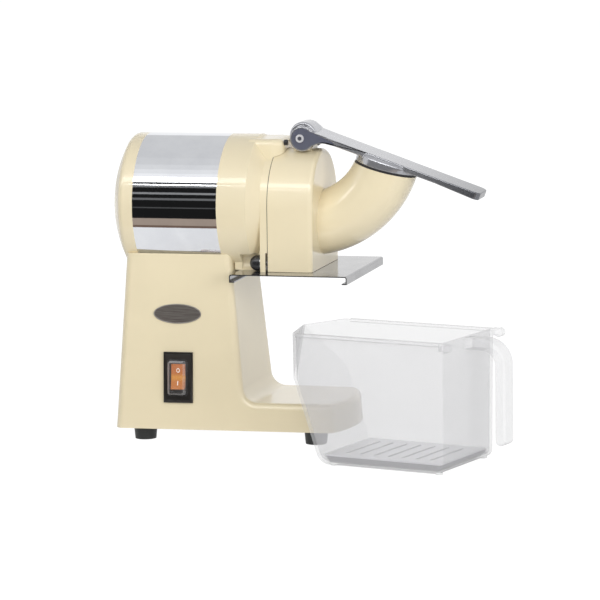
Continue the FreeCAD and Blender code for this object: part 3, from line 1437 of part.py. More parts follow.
def make_badge():
    """A bare oval plate."""
    body = new_body("badge_body")
    sketch = sketch_on(body, "badge_oval", "XZ_Plane")
    a, b = d.badge_length / 2, d.badge_tall / 2
    oval = Part.Ellipse(Vector(0, 0, 0), a.value, b.value)
    index = sketch.addGeometry(oval, False)
    sketch.exposeInternalGeometry(index)
    sketch.addConstraint(Sketcher.Constraint("Coincident", index, 3, -1, 1))
    fix(sketch, Sketcher.Constraint("Distance", index + 1, d.badge_length.value), d.badge_length)
    fix(sketch, Sketcher.Constraint("Distance", index + 2, d.badge_tall.value), d.badge_tall)
    sketch.addConstraint(Sketcher.Constraint("Horizontal", index + 1))
    pad(body, sketch, d.badge_thickness)
    keep("badge_plate", near_face_frame(body, -d.badge_x, d.badge_height))


def make_cord_gland():
    """The cord's inlet, low on the rear of the column, against a flat spot on the wall."""
    barrel_length = d.stand_wall + 3
    rim = Size(5.0)
    tube = fuse("gland_outer",
                cylinder("gland_barrel", d.gland_radius - d.shaft_clearance, barrel_length + 2,
                         gland_flat - 2, gland_across, gland_height, TO_X),
                cylinder("gland_collar", d.gland_radius + d.gland_rim, rim, gland_flat - rim,
                         gland_across, gland_height, TO_X))
    bore = cylinder("gland_bore", d.cord_bore, 60, gland_flat - 30, gland_across, gland_height,
                    TO_X)
    keep("cord_gland", cut("gland_cut", tube, bore))


def make_electrics():
    """Run capacitor and terminal block, on the base plate."""
    floor = d.foot_height + d.base_plate_thickness
    keep("run_capacitor", cylinder("capacitor_can", d.capacitor_radius, d.capacitor_length,
                                   d.capacitor_inset - d.stand_rear, d.capacitor_across, floor))
    rear = d.terminal_inset - d.stand_rear
    block = box("terminal_base", rear, d.terminal_across, floor, d.terminal_length,
                d.terminal_width, d.terminal_height)
    depth = d.terminal_height / 2
    cuts = []
    for i in range(4):
        across = d.terminal_across + d.terminal_pitch * (i + 0.5)
        cuts.append(cylinder("terminal_hole_%d" % i, d.terminal_hole, depth + 1,
                             rear + d.terminal_length / 2, across, floor + depth))
    keep("terminal_block", cut("terminal_cut", block, *cuts))


# ---------------------------------------------------------------- bin
def bin_frame(body, across=0.0):
    """Stands a piece in the turned bin, moved across it from the tub's near side."""
    turn = Rotation(Vector(0, 0, 1), -d.bin_turn.value)
    across = Size.of(across)
    return place(body, d.bin_x + across * sine(d.bin_turn),
                 across * cosine(d.bin_turn) - d.bin_y, 0, turn)


def bin_block(name, inset, floor):
    """The bin's outer or inner form: a spouted plan, narrowing downwards, whose left end
    slopes in like a scoop. Everything is measured from the near left corner of the rim."""
    body = new_body(name + "_body")
    plan = outline(body, name + "_plan", "XY_Plane", [
        (inset, inset), (d.bin_length - inset, inset),
        (d.bin_length - inset, d.bin_width - inset), (inset, d.bin_width - inset),
        (inset - d.spout_reach, d.bin_width / 2)], d.bin_height)
    pad(body, plan, d.bin_height - floor, reverse=True, taper=-d.bin_draft)
    doc.recompute()
    slope = (d.spout_reach + d.scoop_start) / (d.bin_height - d.scoop_height)
    lip = inset * 1.1 - d.spout_reach - slope * 20
    scoop = outline(body, name + "_scoop", "XZ_Plane", [
        (-80, d.bin_height + 20), (-80, -20), (inset + d.scoop_foot, -20),
        (inset + d.scoop_foot, floor), (inset + d.scoop_start, d.scoop_height),
        (lip, d.bin_height + 20)])
    pocket(body, scoop, d.bin_width * 4, midplane=True)
    low = floor.value
    round_edges(body, name + "_scoop_edge", d.scoop_radius - inset,
                lambda e: e.BoundBox.ZMax < low + 0.01 and e.BoundBox.YLength > 50
                and e.BoundBox.XMax < 90)
    round_edges(body, name + "_foot_edge", d.bin_foot_radius - inset,
                lambda e: e.BoundBox.ZMax < low + 0.01 and e.BoundBox.YLength > 50
                and e.BoundBox.XMin > 90)
    return body


def make_bin():
    """The clear bin: a drawn tub with runner rails on its long sides and a hooked handle."""
    outer = bin_block("bin_outer", ZERO, d.bin_stand_off)
    inner = bin_block("bin_inner", d.bin_wall, d.bin_stand_off + d.bin_wall)
    tub = cut("bin_tub", outer, inner)
    rails = []
    for side, y, out in (("near", -d.rail_reach, -d.horn_reach),
                         ("far", d.bin_width - 0.5, d.bin_width - 0.5)):
        rails.append(box("bin_rail_" + side, 6, y, d.bin_height - d.rail_thickness,
                         d.bin_length + 1, d.rail_reach + 0.5, d.rail_thickness))
        rails.append(cylinder("bin_horn_" + side, 5.0, d.horn_reach + 0.5,
                              d.bin_length + 6.5, out + d.horn_reach + 0.5,
                              d.bin_height - 4.5, TO_MINUS_Y))
        rails.append(box("bin_horn_root_" + side, d.bin_length - 2, out, d.bin_height - 8, 8,
                         d.horn_reach + 0.5, 8))
    feet = []
    for x in (d.scoop_foot + 16, d.bin_length - 10):
        for y in (Size(7.0), d.bin_width - 7):
            feet.append(cylinder("bin_foot_%d" % len(feet), 4.0, d.bin_stand_off + 1, x, y, 0))
    whole = fuse("bin_whole", tub, make_handle_body(), *(rails + feet))
    keep("bin_shell", bin_frame(whole))


def make_handle_body():
    """A strap that leaves the rim, turns down and ends open above the table."""
    body = new_body("bin_handle_body")
    start = d.bin_length - d.bin_wall
    outer = d.bin_length + d.handle_reach
    inner = outer - d.handle_thickness
    top = d.bin_height - 1
    bend = Size(30.0)
    under = top - d.handle_thickness
    strap = outline(body, "handle_strap", "XZ_Plane", [
        (start, under), (inner - 17, under), (inner, under - 17, -17.0),
        (inner, d.handle_foot + 6), (outer, d.handle_foot + 6, d.handle_thickness / 2 + 0.01),
        (outer, top - bend), (outer - bend, top, bend), (start, top)])
    pad(body, strap, d.handle_half * 2, midplane=True)
    place(body, 0, d.bin_width / 2, 0)
    return body


def make_tray():
    """The drainer: a slotted plate with turned-down rims, lying in the bin."""
    body = new_body("tray_body")
    t = d.tray_thickness
    low = d.bin_stand_off + d.bin_wall + 0.3
    high = low + d.tray_rise
    left = d.scoop_foot + 3.5
    right = d.bin_length - d.bin_wall - 5
    half = d.bin_width / 2 - d.bin_wall - 3.2
    plan = outline(body, "tray_section", "XZ_Plane", [
        (left + 8, low), (right - 5, low), (right, low + 3), (right, high), (left, high)])
    pad(body, plan, half * 2, midplane=True)
    under = outline(body, "tray_under", "XZ_Plane", [
        (left + 8 + t * 1.4, low - 1), (right - t, low - 1), (right - t, high - t),
        (left + t * 2.2, high - t)])
    pocket(body, under, (half - t) * 2, midplane=True)
    middle_x = (left + right) / 2
    for i in range(7):
        x = middle_x + 18 * (i - 3)
        slot = outline(body, "tray_slot_%d" % i, "XY_Plane", [
            (x - 2, 16 - half), (x + 2, 16 - half), (x + 2, half - 16), (x - 2, half - 16)],
            low)
        pocket(body, slot, d.tray_rise * 2, reverse=True)
    keep("bin_drainer", bin_frame(body, d.bin_width / 2))


# ---------------------------------------------------------------- build, check and write
def check_document():
    """Stops if any object failed or any sub-part is not a sound solid."""
    doc.recompute()
    for obj in doc.Objects:
        if "Invalid" in obj.State or "Error" in obj.State:
            raise RuntimeError("%s failed: %s" % (obj.Name, obj.State))
    for node, obj in NODES.items():
        if obj.Shape.isNull() or not obj.Shape.isValid() or not obj.Shape.Solids:
            raise RuntimeError("%s is not a sound solid" % node)


def main():
    make_stand()
    make_base_plate()
    make_feet()
    make_band()
    make_rear_cap()
    make_motor()
    make_crusher_housing()
    make_shaft_seal()
    make_crushing_disc()
    make_blades()
    make_disc_nut()
    make_hopper_cover()
    make_cover_gasket()
    make_clamps()
    make_deflector_plate()
    make_lever()
    make_lever_inlays()
    make_lever_pin()
    make_lid_seal()
    make_pusher()
    make_lever_buffers()
    make_switch()
    make_badge()
    make_cord_gland()
    make_electrics()
    make_bin()
    make_tray()
    check_document()
    for node, obj in NODES.items():
        obj.Shape.exportStep("parts/%s.step" % node)
        print("%-26s solids %d  volume %.0f" % (node, len(obj.Shape.Solids), obj.Shape.Volume))


main()
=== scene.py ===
"""Looks of the ice crusher: finishes, small moulded pieces, studio, lamps and camera.

It is laid out as an add-on and run as a script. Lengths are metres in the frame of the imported
model: +X along the motor's axis to the hopper, -Y towards the user, +Z up.
"""

import math

import bpy
from mathutils import Euler, Matrix, Vector


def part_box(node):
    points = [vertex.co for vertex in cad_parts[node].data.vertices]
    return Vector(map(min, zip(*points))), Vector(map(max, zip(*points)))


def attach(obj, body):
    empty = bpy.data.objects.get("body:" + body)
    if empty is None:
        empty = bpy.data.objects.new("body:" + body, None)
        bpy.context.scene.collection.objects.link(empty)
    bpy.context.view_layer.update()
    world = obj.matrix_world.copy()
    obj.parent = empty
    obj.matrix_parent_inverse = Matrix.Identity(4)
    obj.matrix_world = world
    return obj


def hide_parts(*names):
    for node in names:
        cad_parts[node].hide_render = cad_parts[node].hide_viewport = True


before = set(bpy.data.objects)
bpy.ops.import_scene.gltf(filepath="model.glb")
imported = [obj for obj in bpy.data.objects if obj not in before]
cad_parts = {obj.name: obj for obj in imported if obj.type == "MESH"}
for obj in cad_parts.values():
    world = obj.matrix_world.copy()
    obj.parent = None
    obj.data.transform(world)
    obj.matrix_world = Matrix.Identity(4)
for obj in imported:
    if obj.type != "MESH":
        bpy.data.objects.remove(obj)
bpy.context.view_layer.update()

bl_info = {
    "name": "Ice crusher looks",
    "version": (1, 0, 0),
    "blender": (4, 5, 0),
    "location": "View3D > Sidebar > Ice crusher",
    "description": "Dresses the packed ice crusher and sets up its studio",
    "category": "Object",
}

SIDEBAR_TAB = "Ice crusher"


# ---------------------------------------------------------------- sizes and places
MOTOR_HEIGHT = 0.279

# The stand's underside: how far its rear edge and its nose lie from the origin, its half
# width at both, and how far its walls lean inwards.
STAND_REAR = 0.1366
STAND_FRONT = 0.1435
STAND_REAR_HALF = 0.080
STAND_FRONT_HALF = 0.07159
STAND_TAPER = (STAND_REAR_HALF - STAND_FRONT_HALF) / (STAND_REAR + STAND_FRONT)
STAND_LEAN = math.radians(3.6)
FOOT_HEIGHT = 0.015

LEVER_LEAN = math.radians(19.4)
# Painted shade on the lever, in place of a darker reflection: where it starts and where it is
# full.
LEVER_PAINTED_SHADE = (0.15, 0.36)   # from the hub's side to the tip, along X
LEVER_ROUND = 0.0014
HUB_REACH = 0.024           # nearer to the pin than this, the lever's edges stay sharp
# Painted shade on the pin's end: dark inside the first radius, light beyond the second.
PIN_SHADE_RADII = (0.0021, 0.0028)
# Painted shade on the drainer's skirt: full this far below its top, gone this far below it.
DRAINER_SHADE_EDGE = (-0.0022, -0.0014)

# Places on the near face are X and Z. Depths count from the face, towards the user below 0.
SWITCH_AT = (-0.0583, 0.0772)
BEZEL_SIZE = (0.0356, 0.003, 0.0605)
BEZEL_RIM = 0.0028
BEZEL_SINK = 0.0008
WINDOW_SIZE = (0.0182, 0.02, 0.0322)
HOOD_OFFSET = (-0.0008, -0.0004)
HOOD_BASE = -0.00305
HOOD_RISE = 0.0116
HOOD_SIZE = (0.0212, HOOD_RISE, 0.0408)
HOOD_TAPER = (0.88, 1.0, 0.94)
HOOD_FLANGE = (1.13, 1.0, 1.07)
HOOD_ROUND = 0.0026
HOOD_WALL = 0.0011
ROCKER_HALF = 0.0132
ROCKER_TILT = math.radians(8.0)
ROCKER_AXIS_DEPTH = 0.003
ROCKER_FACE_OUT = 0.0064
PADDLE_WIDER = 1.38
PADDLE_TALLER = 1.15
RING_SHAPE = (0.8, 0.3, 1.0)
BAR_THICKNESS = 0.0002
MARK_PROUD = 0.00015

BADGE_AT = (-0.0596, 0.1528)
BADGE_LONG = 0.029          # half lengths of the oval
BADGE_HIGH = 0.0117
BADGE_BACK = 0.0002
BADGE_THICKNESS = 0.0008
BADGE_BORDER = 0.0006
BADGE_RIM_OUT = 0.0012
BADGE_RIM_SINK = 0.001

ROOM_DEPTH = 3.0            # from the origin to the dark wall in front
ROOM_SIDE = 6.0             # half the room's width
TABLE_NEAR = -0.725
TABLE_EDGE = -0.452
TABLE_FAR = -0.398
WALL_TOP = 38.2             # degrees, as the motor's axis sees them
GAP_TOP = 46.5
# Each band: where it starts, in degrees, and its brightness. Each strip: its near and far
# edges and its brightness.
WALL_BANDS = ((-12.0, 0.012), (-6.0, 0.09), (-3.6, 0.012), (8.0, 0.16), (11.4, 0.012),
              (17.4, 0.3), (20.6, 0.012), (29.0, 0.22), (33.0, 0.075))
CEILING_STRIPS = ((-ROOM_DEPTH, -2.4, 1.02), (-2.4, -1.8, 0.9), (-1.8, -1.2, 0.8),
                  (-1.2, -0.4, 0.73), (-0.4, 6.0, 0.7))
CAMERA_AT = (1.1384, -4.1260, 0.7644)
LAMP_TARGET = (0.06, -0.04, 0.2)


# ---------------------------------------------------------------- colours
def linear(red, green, blue):
    """A display colour, 0 to 255 a channel, as the linear colour that a shader takes."""
    channels = []
    for value in (red, green, blue):
        share = value / 255
        low = share / 12.92
        high = ((share + 0.055) / 1.055) ** 2.4
        channels.append(low if share <= 0.04045 else high)
    return (*channels, 1.0)


# ---------------------------------------------------------------- properties
def colour_property(name, description, default):
    return bpy.props.FloatVectorProperty(
        name=name, description=description, subtype="COLOR", size=4, min=0.0, max=1.0,
        default=default)


def length_property(name, description, default):
    return bpy.props.FloatProperty(
        name=name, description=description, default=default, min=0.0, unit="LENGTH",
        subtype="DISTANCE", precision=5)


def share_property(name, description, default, highest=1.0):
    return bpy.props.FloatProperty(
        name=name, description=description, default=default, min=0.0, max=highest,
        subtype="FACTOR")


class FinishSettings(bpy.types.PropertyGroup):
    """Colours and gloss of the machine's finishes."""

    enamel: colour_property("Enamel", "Cream enamel on the castings", linear(236, 223, 190))
    enamel_gloss: share_property("Enamel roughness", "Roughness of the enamel", 0.2)
    lamp_on: colour_property("Lit rocker", "Amber of the lit switch rocker",
                             linear(172, 106, 54))
    bin_tint: colour_property("Bin tint", "Tint of the bin's milky plastic",
                              linear(224, 224, 226))
    bin_veil: share_property("Bin veil", "How much one surface of the bin hides", 0.22)
    drainer: colour_property("Drainer", "Grey of the drainer tray", linear(238, 238, 242))


class TrimSettings(bpy.types.PropertyGroup):
    """Sizes of the small pieces that are modelled here."""

    bezel_round: length_property("Bezel round", "Rounding of the switch bezel's edge", 0.0011)
    badge_rim: length_property("Badge rim", "Width of the badge's raised rim", 0.0011)
    mark_height: length_property("Mark height", "Height of the marks on the rocker", 0.0054)
    mark_stroke: length_property("Mark stroke", "Stroke of the marks on the rocker", 0.001)


class StudioSettings(bpy.types.PropertyGroup):
    """Camera and lamps."""

    lens: bpy.props.FloatProperty(name="Lens", description="Focal length on a 36 mm sensor",
                                  default=216.0, min=10.0, subtype="DISTANCE_CAMERA")
    turn: bpy.props.FloatProperty(name="Turn", description="Camera's turn about the machine",
                                  default=math.radians(14.48), subtype="ANGLE")
    rise: bpy.props.FloatProperty(name="Rise", description="Camera's height angle",
                                  default=math.radians(8.04), subtype="ANGLE")
    roll: bpy.props.FloatProperty(name="Roll", description="Camera's roll",
                                  default=math.radians(-0.77), subtype="ANGLE")
    key: bpy.props.FloatProperty(name="Key lamp", description="Power of the key lamp",
                                 default=29.5, min=0.0, subtype="POWER")
    fill: bpy.props.FloatProperty(name="Fill lamp", description="Power of the fill lamp",
                                  default=40.0, min=0.0, subtype="POWER")
    back: bpy.props.FloatProperty(name="Back lamp", description="Power of the back lamp",
                                  default=58.0, min=0.0, subtype="POWER")
    strip: bpy.props.FloatProperty(name="Strip lamp", description="Power of the strip lamp",
                                   default=14.0, min=0.0, subtype="POWER")
    world: share_property("Surroundings", "Brightness of the surroundings", 0.42, 4.0)


# ---------------------------------------------------------------- shader building
class Socket:
    """An output of a node. Arithmetic on it adds Math nodes to the finish it belongs to."""

    def __init__(self, finish, socket):
        self.finish = finish
        self.socket = socket

    def _math(self, operation, *terms):
        return self.finish.add("ShaderNodeMath", {"operation": operation},
                               dict(enumerate(terms)))

    def __add__(self, other):
        return self._math("ADD", self, other)

    def __radd__(self, other):
        return self._math("ADD", other, self)

    def __rsub__(self, other):
        return self._math("SUBTRACT", other, self)

    def __mul__(self, other):
        return self._math("MULTIPLY", self, other)

    def __rmul__(self, other):
        return self._math("MULTIPLY", other, self)

    def __pow__(self, other):
        return self._math("POWER", self, other)

    def ramp(self, low, high):
        """0 below low, 1 above high, and smooth between them."""
        return self.finish.add(
            "ShaderNodeMapRange", {"interpolation_type": "SMOOTHSTEP"},
            {"Value": self, "From Min": low, "From Max": high})


class Finish:
    """A material and the nodes that are added to it."""

    def __init__(self, name):
        self.material = bpy.data.materials.new(name)
        self.material.use_nodes = True
        self.tree = self.material.node_tree
        self.shader = self.tree.nodes["Principled BSDF"]
        self.output = self.tree.nodes["Material Output"]

    def put(self, target, value):
        """Links a socket to an input, or writes a plain value on it."""
        if isinstance(value, Socket):
            self.tree.links.new(value.socket, target)
        elif isinstance(value, (int, float)) and hasattr(target.default_value, "__len__"):
            target.default_value = [value] * len(target.default_value)
        else:
            target.default_value = value

    def add(self, kind, settings=None, inputs=None, output=0):
        """Adds a node, sets it, fills its inputs and gives back one of its outputs."""
        node = self.tree.nodes.new(kind)
        for name, value in (settings or {}).items():
            setattr(node, name, value)
        for name, value in (inputs or {}).items():
            self.put(node.inputs[name], value)
        return Socket(self, node.outputs[output])

    def set(self, **inputs):
        """Sets inputs of the surface shader; an underscore in a name stands for a space."""
        for name, value in inputs.items():
            self.put(self.shader.inputs[name.replace("_", " ")], value)

    def where(self, scale=(1.0, 1.0, 1.0), centre=(0.0, 0.0, 0.0), turn=(0.0, 0.0, 0.0)):
        """The place on the piece, moved to a centre, turned and stretched."""
        place = self.add("ShaderNodeTexCoord", output="Object")
        moved = self.add("ShaderNodeMapping", None,
                         {"Vector": place, "Location": [-c for c in centre]})
        return self.add("ShaderNodeMapping", None,
                        {"Vector": moved, "Rotation": turn, "Scale": scale})

    def along(self, axis, centre=(0.0, 0.0, 0.0), scale=(1.0, 1.0, 1.0)):
        """How far a place lies along one axis, counted from a centre."""
        place = self.where(scale, centre)
        return self.add("ShaderNodeSeparateXYZ", None, {"Vector": place}, axis)

    def noise(self, vector, scale, detail=3.0):
        return self.add("ShaderNodeTexNoise", None,
                        {"Vector": vector, "Scale": scale, "Detail": detail,
                         "Roughness": 0.55})

    def mix(self, share, first, second):
        """A colour between two colours."""
        node = self.tree.nodes.new("ShaderNodeMix")
        node.data_type = "RGBA"
        self.put(node.inputs[0], share)
        self.put(node.inputs[6], first)
        self.put(node.inputs[7], second)
        return Socket(self, node.outputs[2])

    def bump(self, height, strength, distance):
        """A normal pushed about by a height; the distance is what a height of 1 stands for."""
        return self.add("ShaderNodeBump", None,
                        {"Height": height, "Strength": strength, "Distance": distance})


def shaded(colour, share):
    """A colour made darker or lighter by a share."""
    return (*(min(1.0, channel * share) for channel in colour[:3]), 1.0)


# ---------------------------------------------------------------- finishes
def enamel_finish(name, settings):
    """Thick baked enamel: a faint orange peel under a clear gloss, a little dull in places."""
    f = Finish(name)
    place = f.where()
    clouds = f.noise(place, 9.0, 4.0)
    peel = f.noise(place, 420.0, 2.0)
    dust = f.noise(place, 60.0, 5.0)
    base = tuple(settings.enamel)
    tone = f.mix(clouds.ramp(0.35, 0.68), shaded(base, 0.975), shaded(base, 1.015))
    f.set(Base_Color=tone,
          Roughness=settings.enamel_gloss + dust * 0.06,
          Normal=f.bump(peel, 0.22, 0.00012),
          Coat_Weight=0.6, Coat_Roughness=0.03, IOR=1.5)
    return f.material


def mirror_finish(name):
    """Mirror-polished steel with the faintest lines of the polishing wheel."""
    f = Finish(name)
    lines = f.noise(f.where((30.0, 900.0, 900.0)), 1.0, 3.0)
    stain = f.noise(f.where(), 24.0, 4.0)
    f.set(Base_Color=f.mix(stain.ramp(0.3, 0.7), linear(236, 238, 242),
                           linear(228, 230, 235)),
          Metallic=1.0,
          Roughness=0.03 + stain * 0.03,
          Normal=f.bump(lines, 0.05, 0.00004))
    return f.material


def polished_cast_finish(name):
    """Cast aluminium, hand polished: soft ripples and fine marks that run along the lever,
    random wear, and painted shade that darkens the lever towards its tip in place of a darker
    reflection."""
    f = Finish(name)
    grain = f.noise(f.where((35.0, 700.0, 700.0), turn=(0.0, -LEVER_LEAN, 0.0)), 1.0, 4.0)
    ripple = f.noise(f.where(), 45.0, 2.0)
    worn = f.noise(f.where(), 130.0, 5.0)
    # Random wear, plus painted shade that makes the lever darker towards its tip.
    darker_share = 0.15 * worn + f.along("X").ramp(*LEVER_PAINTED_SHADE)
    f.set(Base_Color=f.mix(darker_share, linear(190, 191, 196), linear(92, 94, 100)),
          Metallic=0.65,
          Roughness=0.12 + grain * 0.09,
          Normal=f.bump(ripple * 0.5 + grain * 0.05, 0.14, 0.0003))
    return f.material


def pin_finish(name, centre):
    """A ground pin whose end has painted shade in its middle, as a recess would show, so that
    only a ring of it is light.
    """
    f = Finish(name)
    across = f.along("X", centre)
    up = f.along("Z", centre)
    # Painted shade: the middle of the pin's end is dark, out to a light ring.
    ring = ((across * across + up * up) ** 0.5).ramp(*PIN_SHADE_RADII)
    marks = f.noise(f.where(centre=centre), 900.0, 2.0)
    f.set(Base_Color=f.mix(ring, linear(96, 98, 108), linear(236, 236, 240)),
          Metallic=0.4, Roughness=0.24 + marks * 0.12, Normal=f.bump(marks, 0.1, 0.00005))
    return f.material


def sheet_finish(name):
    """Bright rolled sheet, brushed across."""
    f = Finish(name)
    grain = f.noise(f.where((1400.0, 40.0, 900.0)), 1.0, 4.0)
    stain = f.noise(f.where(), 30.0, 4.0)
    f.set(Base_Color=f.mix(stain.ramp(0.3, 0.7), linear(166, 166, 168),
                           linear(150, 150, 152)),
          Metallic=0.9,
          Roughness=0.09 + grain * 0.1,
          Normal=f.bump(grain, 0.06, 0.00006))
    return f.material


def turned_steel_finish(name, shade=205):
    """Plain machined steel with fine tool marks."""
    f = Finish(name)
    marks = f.noise(f.where((900.0, 60.0, 60.0)), 1.0, 3.0)
    darker_share = f.noise(f.where(), 70.0, 4.0)
    f.set(Base_Color=f.mix(darker_share.ramp(0.3, 0.7), linear(shade, shade, shade + 3),
                           linear(shade - 22, shade - 22, shade - 18)),
          Metallic=1.0,
          Roughness=0.2 + marks * 0.16,
          Normal=f.bump(marks, 0.12, 0.00008))
    return f.material


def moulded_finish(name, colour, roughness, grain_scale=900.0, grain=0.18, coat=0.0):
    """Moulded plastic or rubber with a fine spark-eroded grain."""
    f = Finish(name)
    place = f.where()
    fine = f.noise(place, grain_scale, 2.0)
    cloud = f.noise(place, 35.0, 3.0)
    f.set(Base_Color=f.mix(cloud.ramp(0.3, 0.7), shaded(colour, 0.92), shaded(colour, 1.08)),
          Roughness=roughness + fine * 0.08,
          Normal=f.bump(fine, grain, 0.00006),
          Coat_Weight=coat, Coat_Roughness=0.12)
    return f.material


def veiled_finish(name, tint, veil, rim, rim_shade):
    """Clear plastic gone milky: a light veil, thicker where it is seen edge on, and shaded
    there by the rim's shade."""
    f = Finish(name)
    scratches = f.noise(f.where((60.0, 60.0, 500.0)), 1.0, 4.0)
    slant = f.add("ShaderNodeLayerWeight", None, {"Blend": 0.5}, "Facing")
    edge = slant ** 3.8
    f.set(Base_Color=f.mix(edge, tint, shaded(tint, rim_shade)),
          Alpha=veil + edge * rim,
          Roughness=0.1 + scratches * 0.1)
    return f.material


def drainer_finish(name, colour):
    """Thin grey plastic, with painted shade on its skirt, which is darker than its flat top."""
    f = Finish(name)
    # Painted shade: the skirt below the top is darker than the flat top.
    top = f.along("Z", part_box("bin_drainer")[1]).ramp(*DRAINER_SHADE_EDGE)
    fine = f.noise(f.where(), 700.0, 2.0)
    f.set(Base_Color=f.mix(top, shaded(colour, 0.38), colour),
          Roughness=0.3 + fine * 0.1, Normal=f.bump(fine, 0.12, 0.00006))
    return f.material


def lit_finish(name, colour):
    """Clear amber rocker with its lamp on: brighter below, and brightest in a band across
    its middle, where the lamp sits."""
    f = Finish(name)
    up = f.along("Z", middle("switch_rocker"))
    glow = 1 - up.ramp(-0.004, 0.011)
    lamp = up.ramp(-0.007, -0.001) * (1 - up.ramp(-0.001, 0.004))
    speck = f.noise(f.where(), 260.0, 3.0)
    tone = f.mix(glow, linear(174, 106, 62), colour)
    f.set(Base_Color=tone,
          Roughness=0.12 + speck * 0.1,
          Coat_Weight=0.6, Coat_Roughness=0.04,
          Emission_Color=f.mix(lamp, f.mix(glow, linear(150, 84, 46), linear(180, 104, 40)),
                               linear(236, 180, 60)),
          Emission_Strength=0.3)
    return f.material


def badge_finish(name, shade):
    """Brushed anodised plate; the brushing runs along it."""
    f = Finish(name)
    brushing = f.noise(f.where((40.0, 900.0, 1500.0)), 1.0, 4.0)
    f.set(Base_Color=f.mix(brushing.ramp(0.3, 0.7), linear(shade, shade - 5, shade - 9),
                           linear(shade - 30, shade - 36, shade - 41)),
          Metallic=0.45, Roughness=0.3 + brushing * 0.14,
          Normal=f.bump(brushing, 0.1, 0.00005))
    return f.material


def laminated_finish(name):
    """A stack of thin steel sheets, seen edge on."""
    f = Finish(name)
    along = f.along("X", scale=(2000.0,) * 3)
    sheets = f.add("ShaderNodeMath", {"operation": "PINGPONG"}, {0: along, 1: 0.5})
    f.set(Base_Color=f.mix(sheets.ramp(0.1, 0.4), linear(92, 94, 98), linear(128, 130, 134)),
          Metallic=0.8, Roughness=0.42, Normal=f.bump(sheets, 0.3, 0.0001))
    return f.material


def wound_finish(name):
    """Enamelled copper wire, varnished."""
    f = Finish(name)
    across = f.add("ShaderNodeTexWave", {"wave_type": "RINGS", "rings_direction": "X"},
                   {"Vector": f.where(centre=(0.0, 0.0, MOTOR_HEIGHT)), "Scale": 180.0,
                    "Distortion": 1.5}, 1)
    f.set(Base_Color=f.mix(across, linear(132, 66, 34), linear(196, 112, 62)),
          Metallic=0.85, Roughness=0.3, Normal=f.bump(across, 0.5, 0.0003))
    return f.material


# ---------------------------------------------------------------- modelling helpers
def start_piece(primitive, name, **options):
    """Adds a primitive with nothing else selected, and names it."""
    if bpy.context.object is not None and bpy.context.object.mode != "OBJECT":
        bpy.ops.object.mode_set(mode="OBJECT")
    bpy.ops.object.select_all(action="DESELECT")
    getattr(bpy.ops.mesh, primitive)(**options)
    piece = bpy.context.object
    piece.name = name
    piece.data.name = name
    bpy.ops.object.transform_apply(location=True, rotation=True, scale=True)
    return piece


def activate(piece):
    """Goes to object mode with only this piece selected."""
    bpy.ops.object.mode_set(mode="OBJECT")
    bpy.ops.object.select_all(action="DESELECT")
    piece.select_set(True)
    bpy.context.view_layer.objects.active = piece


def pick_faces(piece, wanted):
    """Goes to edit mode with only the faces selected that the test picks."""
    activate(piece)
    for group in (piece.data.vertices, piece.data.edges, piece.data.polygons):
        group.foreach_set("select", [False] * len(group))
    found = [face for face in piece.data.polygons if wanted(face)]
    if not found:
        raise RuntimeError(piece.name + ": no face was picked")
    for face in found:
        face.select = True
    bpy.context.tool_settings.mesh_select_mode = (False, False, True)
    bpy.ops.object.mode_set(mode="EDIT")


def faces_user(face):
    """Whether a face of a flat piece looks at the user, before the piece is set down."""
    return face.normal.y < -0.9


def push(inwards):
    """Extrudes the selected faces away from the user, or towards them below zero."""
    bpy.ops.mesh.extrude_region_move(TRANSFORM_OT_translate={"value": (0.0, inwards, 0.0)})


def finish_modifier(piece, kind, **settings):
    """Adds a modifier to a piece and applies it."""
    activate(piece)
    modifier = piece.modifiers.new(kind.title(), kind)
    for name, value in settings.items():
        setattr(modifier, name, value)
    bpy.ops.object.modifier_apply(modifier=modifier.name)


def soften(piece, width, segments=3, angle=35.0):
    """Rounds the edges that are sharper than an angle."""
    finish_modifier(piece, "BEVEL", width=width, segments=segments, limit_method="ANGLE",
                    angle_limit=math.radians(angle), harden_normals=False)


def smooth(piece, angle=38.0):
    """Shades smooth across the edges that are blunter than an angle."""
    activate(piece)
    bpy.ops.object.shade_smooth_by_angle(angle=math.radians(angle))


def cut_out(piece, cutter):
    """Cuts one mesh out of another and removes the cutter."""
    finish_modifier(piece, "BOOLEAN", object=cutter, operation="DIFFERENCE", solver="EXACT")
    bpy.data.objects.remove(cutter)


def set_down(piece, placement):
    """Moves a piece that was modelled at the origin to its place, and keeps the place in
    its mesh."""
    activate(piece)
    piece.matrix_world = placement
    bpy.ops.object.transform_apply(location=True, rotation=True, scale=True)


def outwards(piece):
    """Turns all faces outwards after doubles are merged."""
    activate(piece)
    bpy.ops.object.mode_set(mode="EDIT")
    bpy.ops.mesh.select_all(action="SELECT")
    bpy.ops.mesh.remove_doubles(threshold=1e-6)
    bpy.ops.mesh.normals_make_consistent(inside=False)
    bpy.ops.object.mode_set(mode="OBJECT")


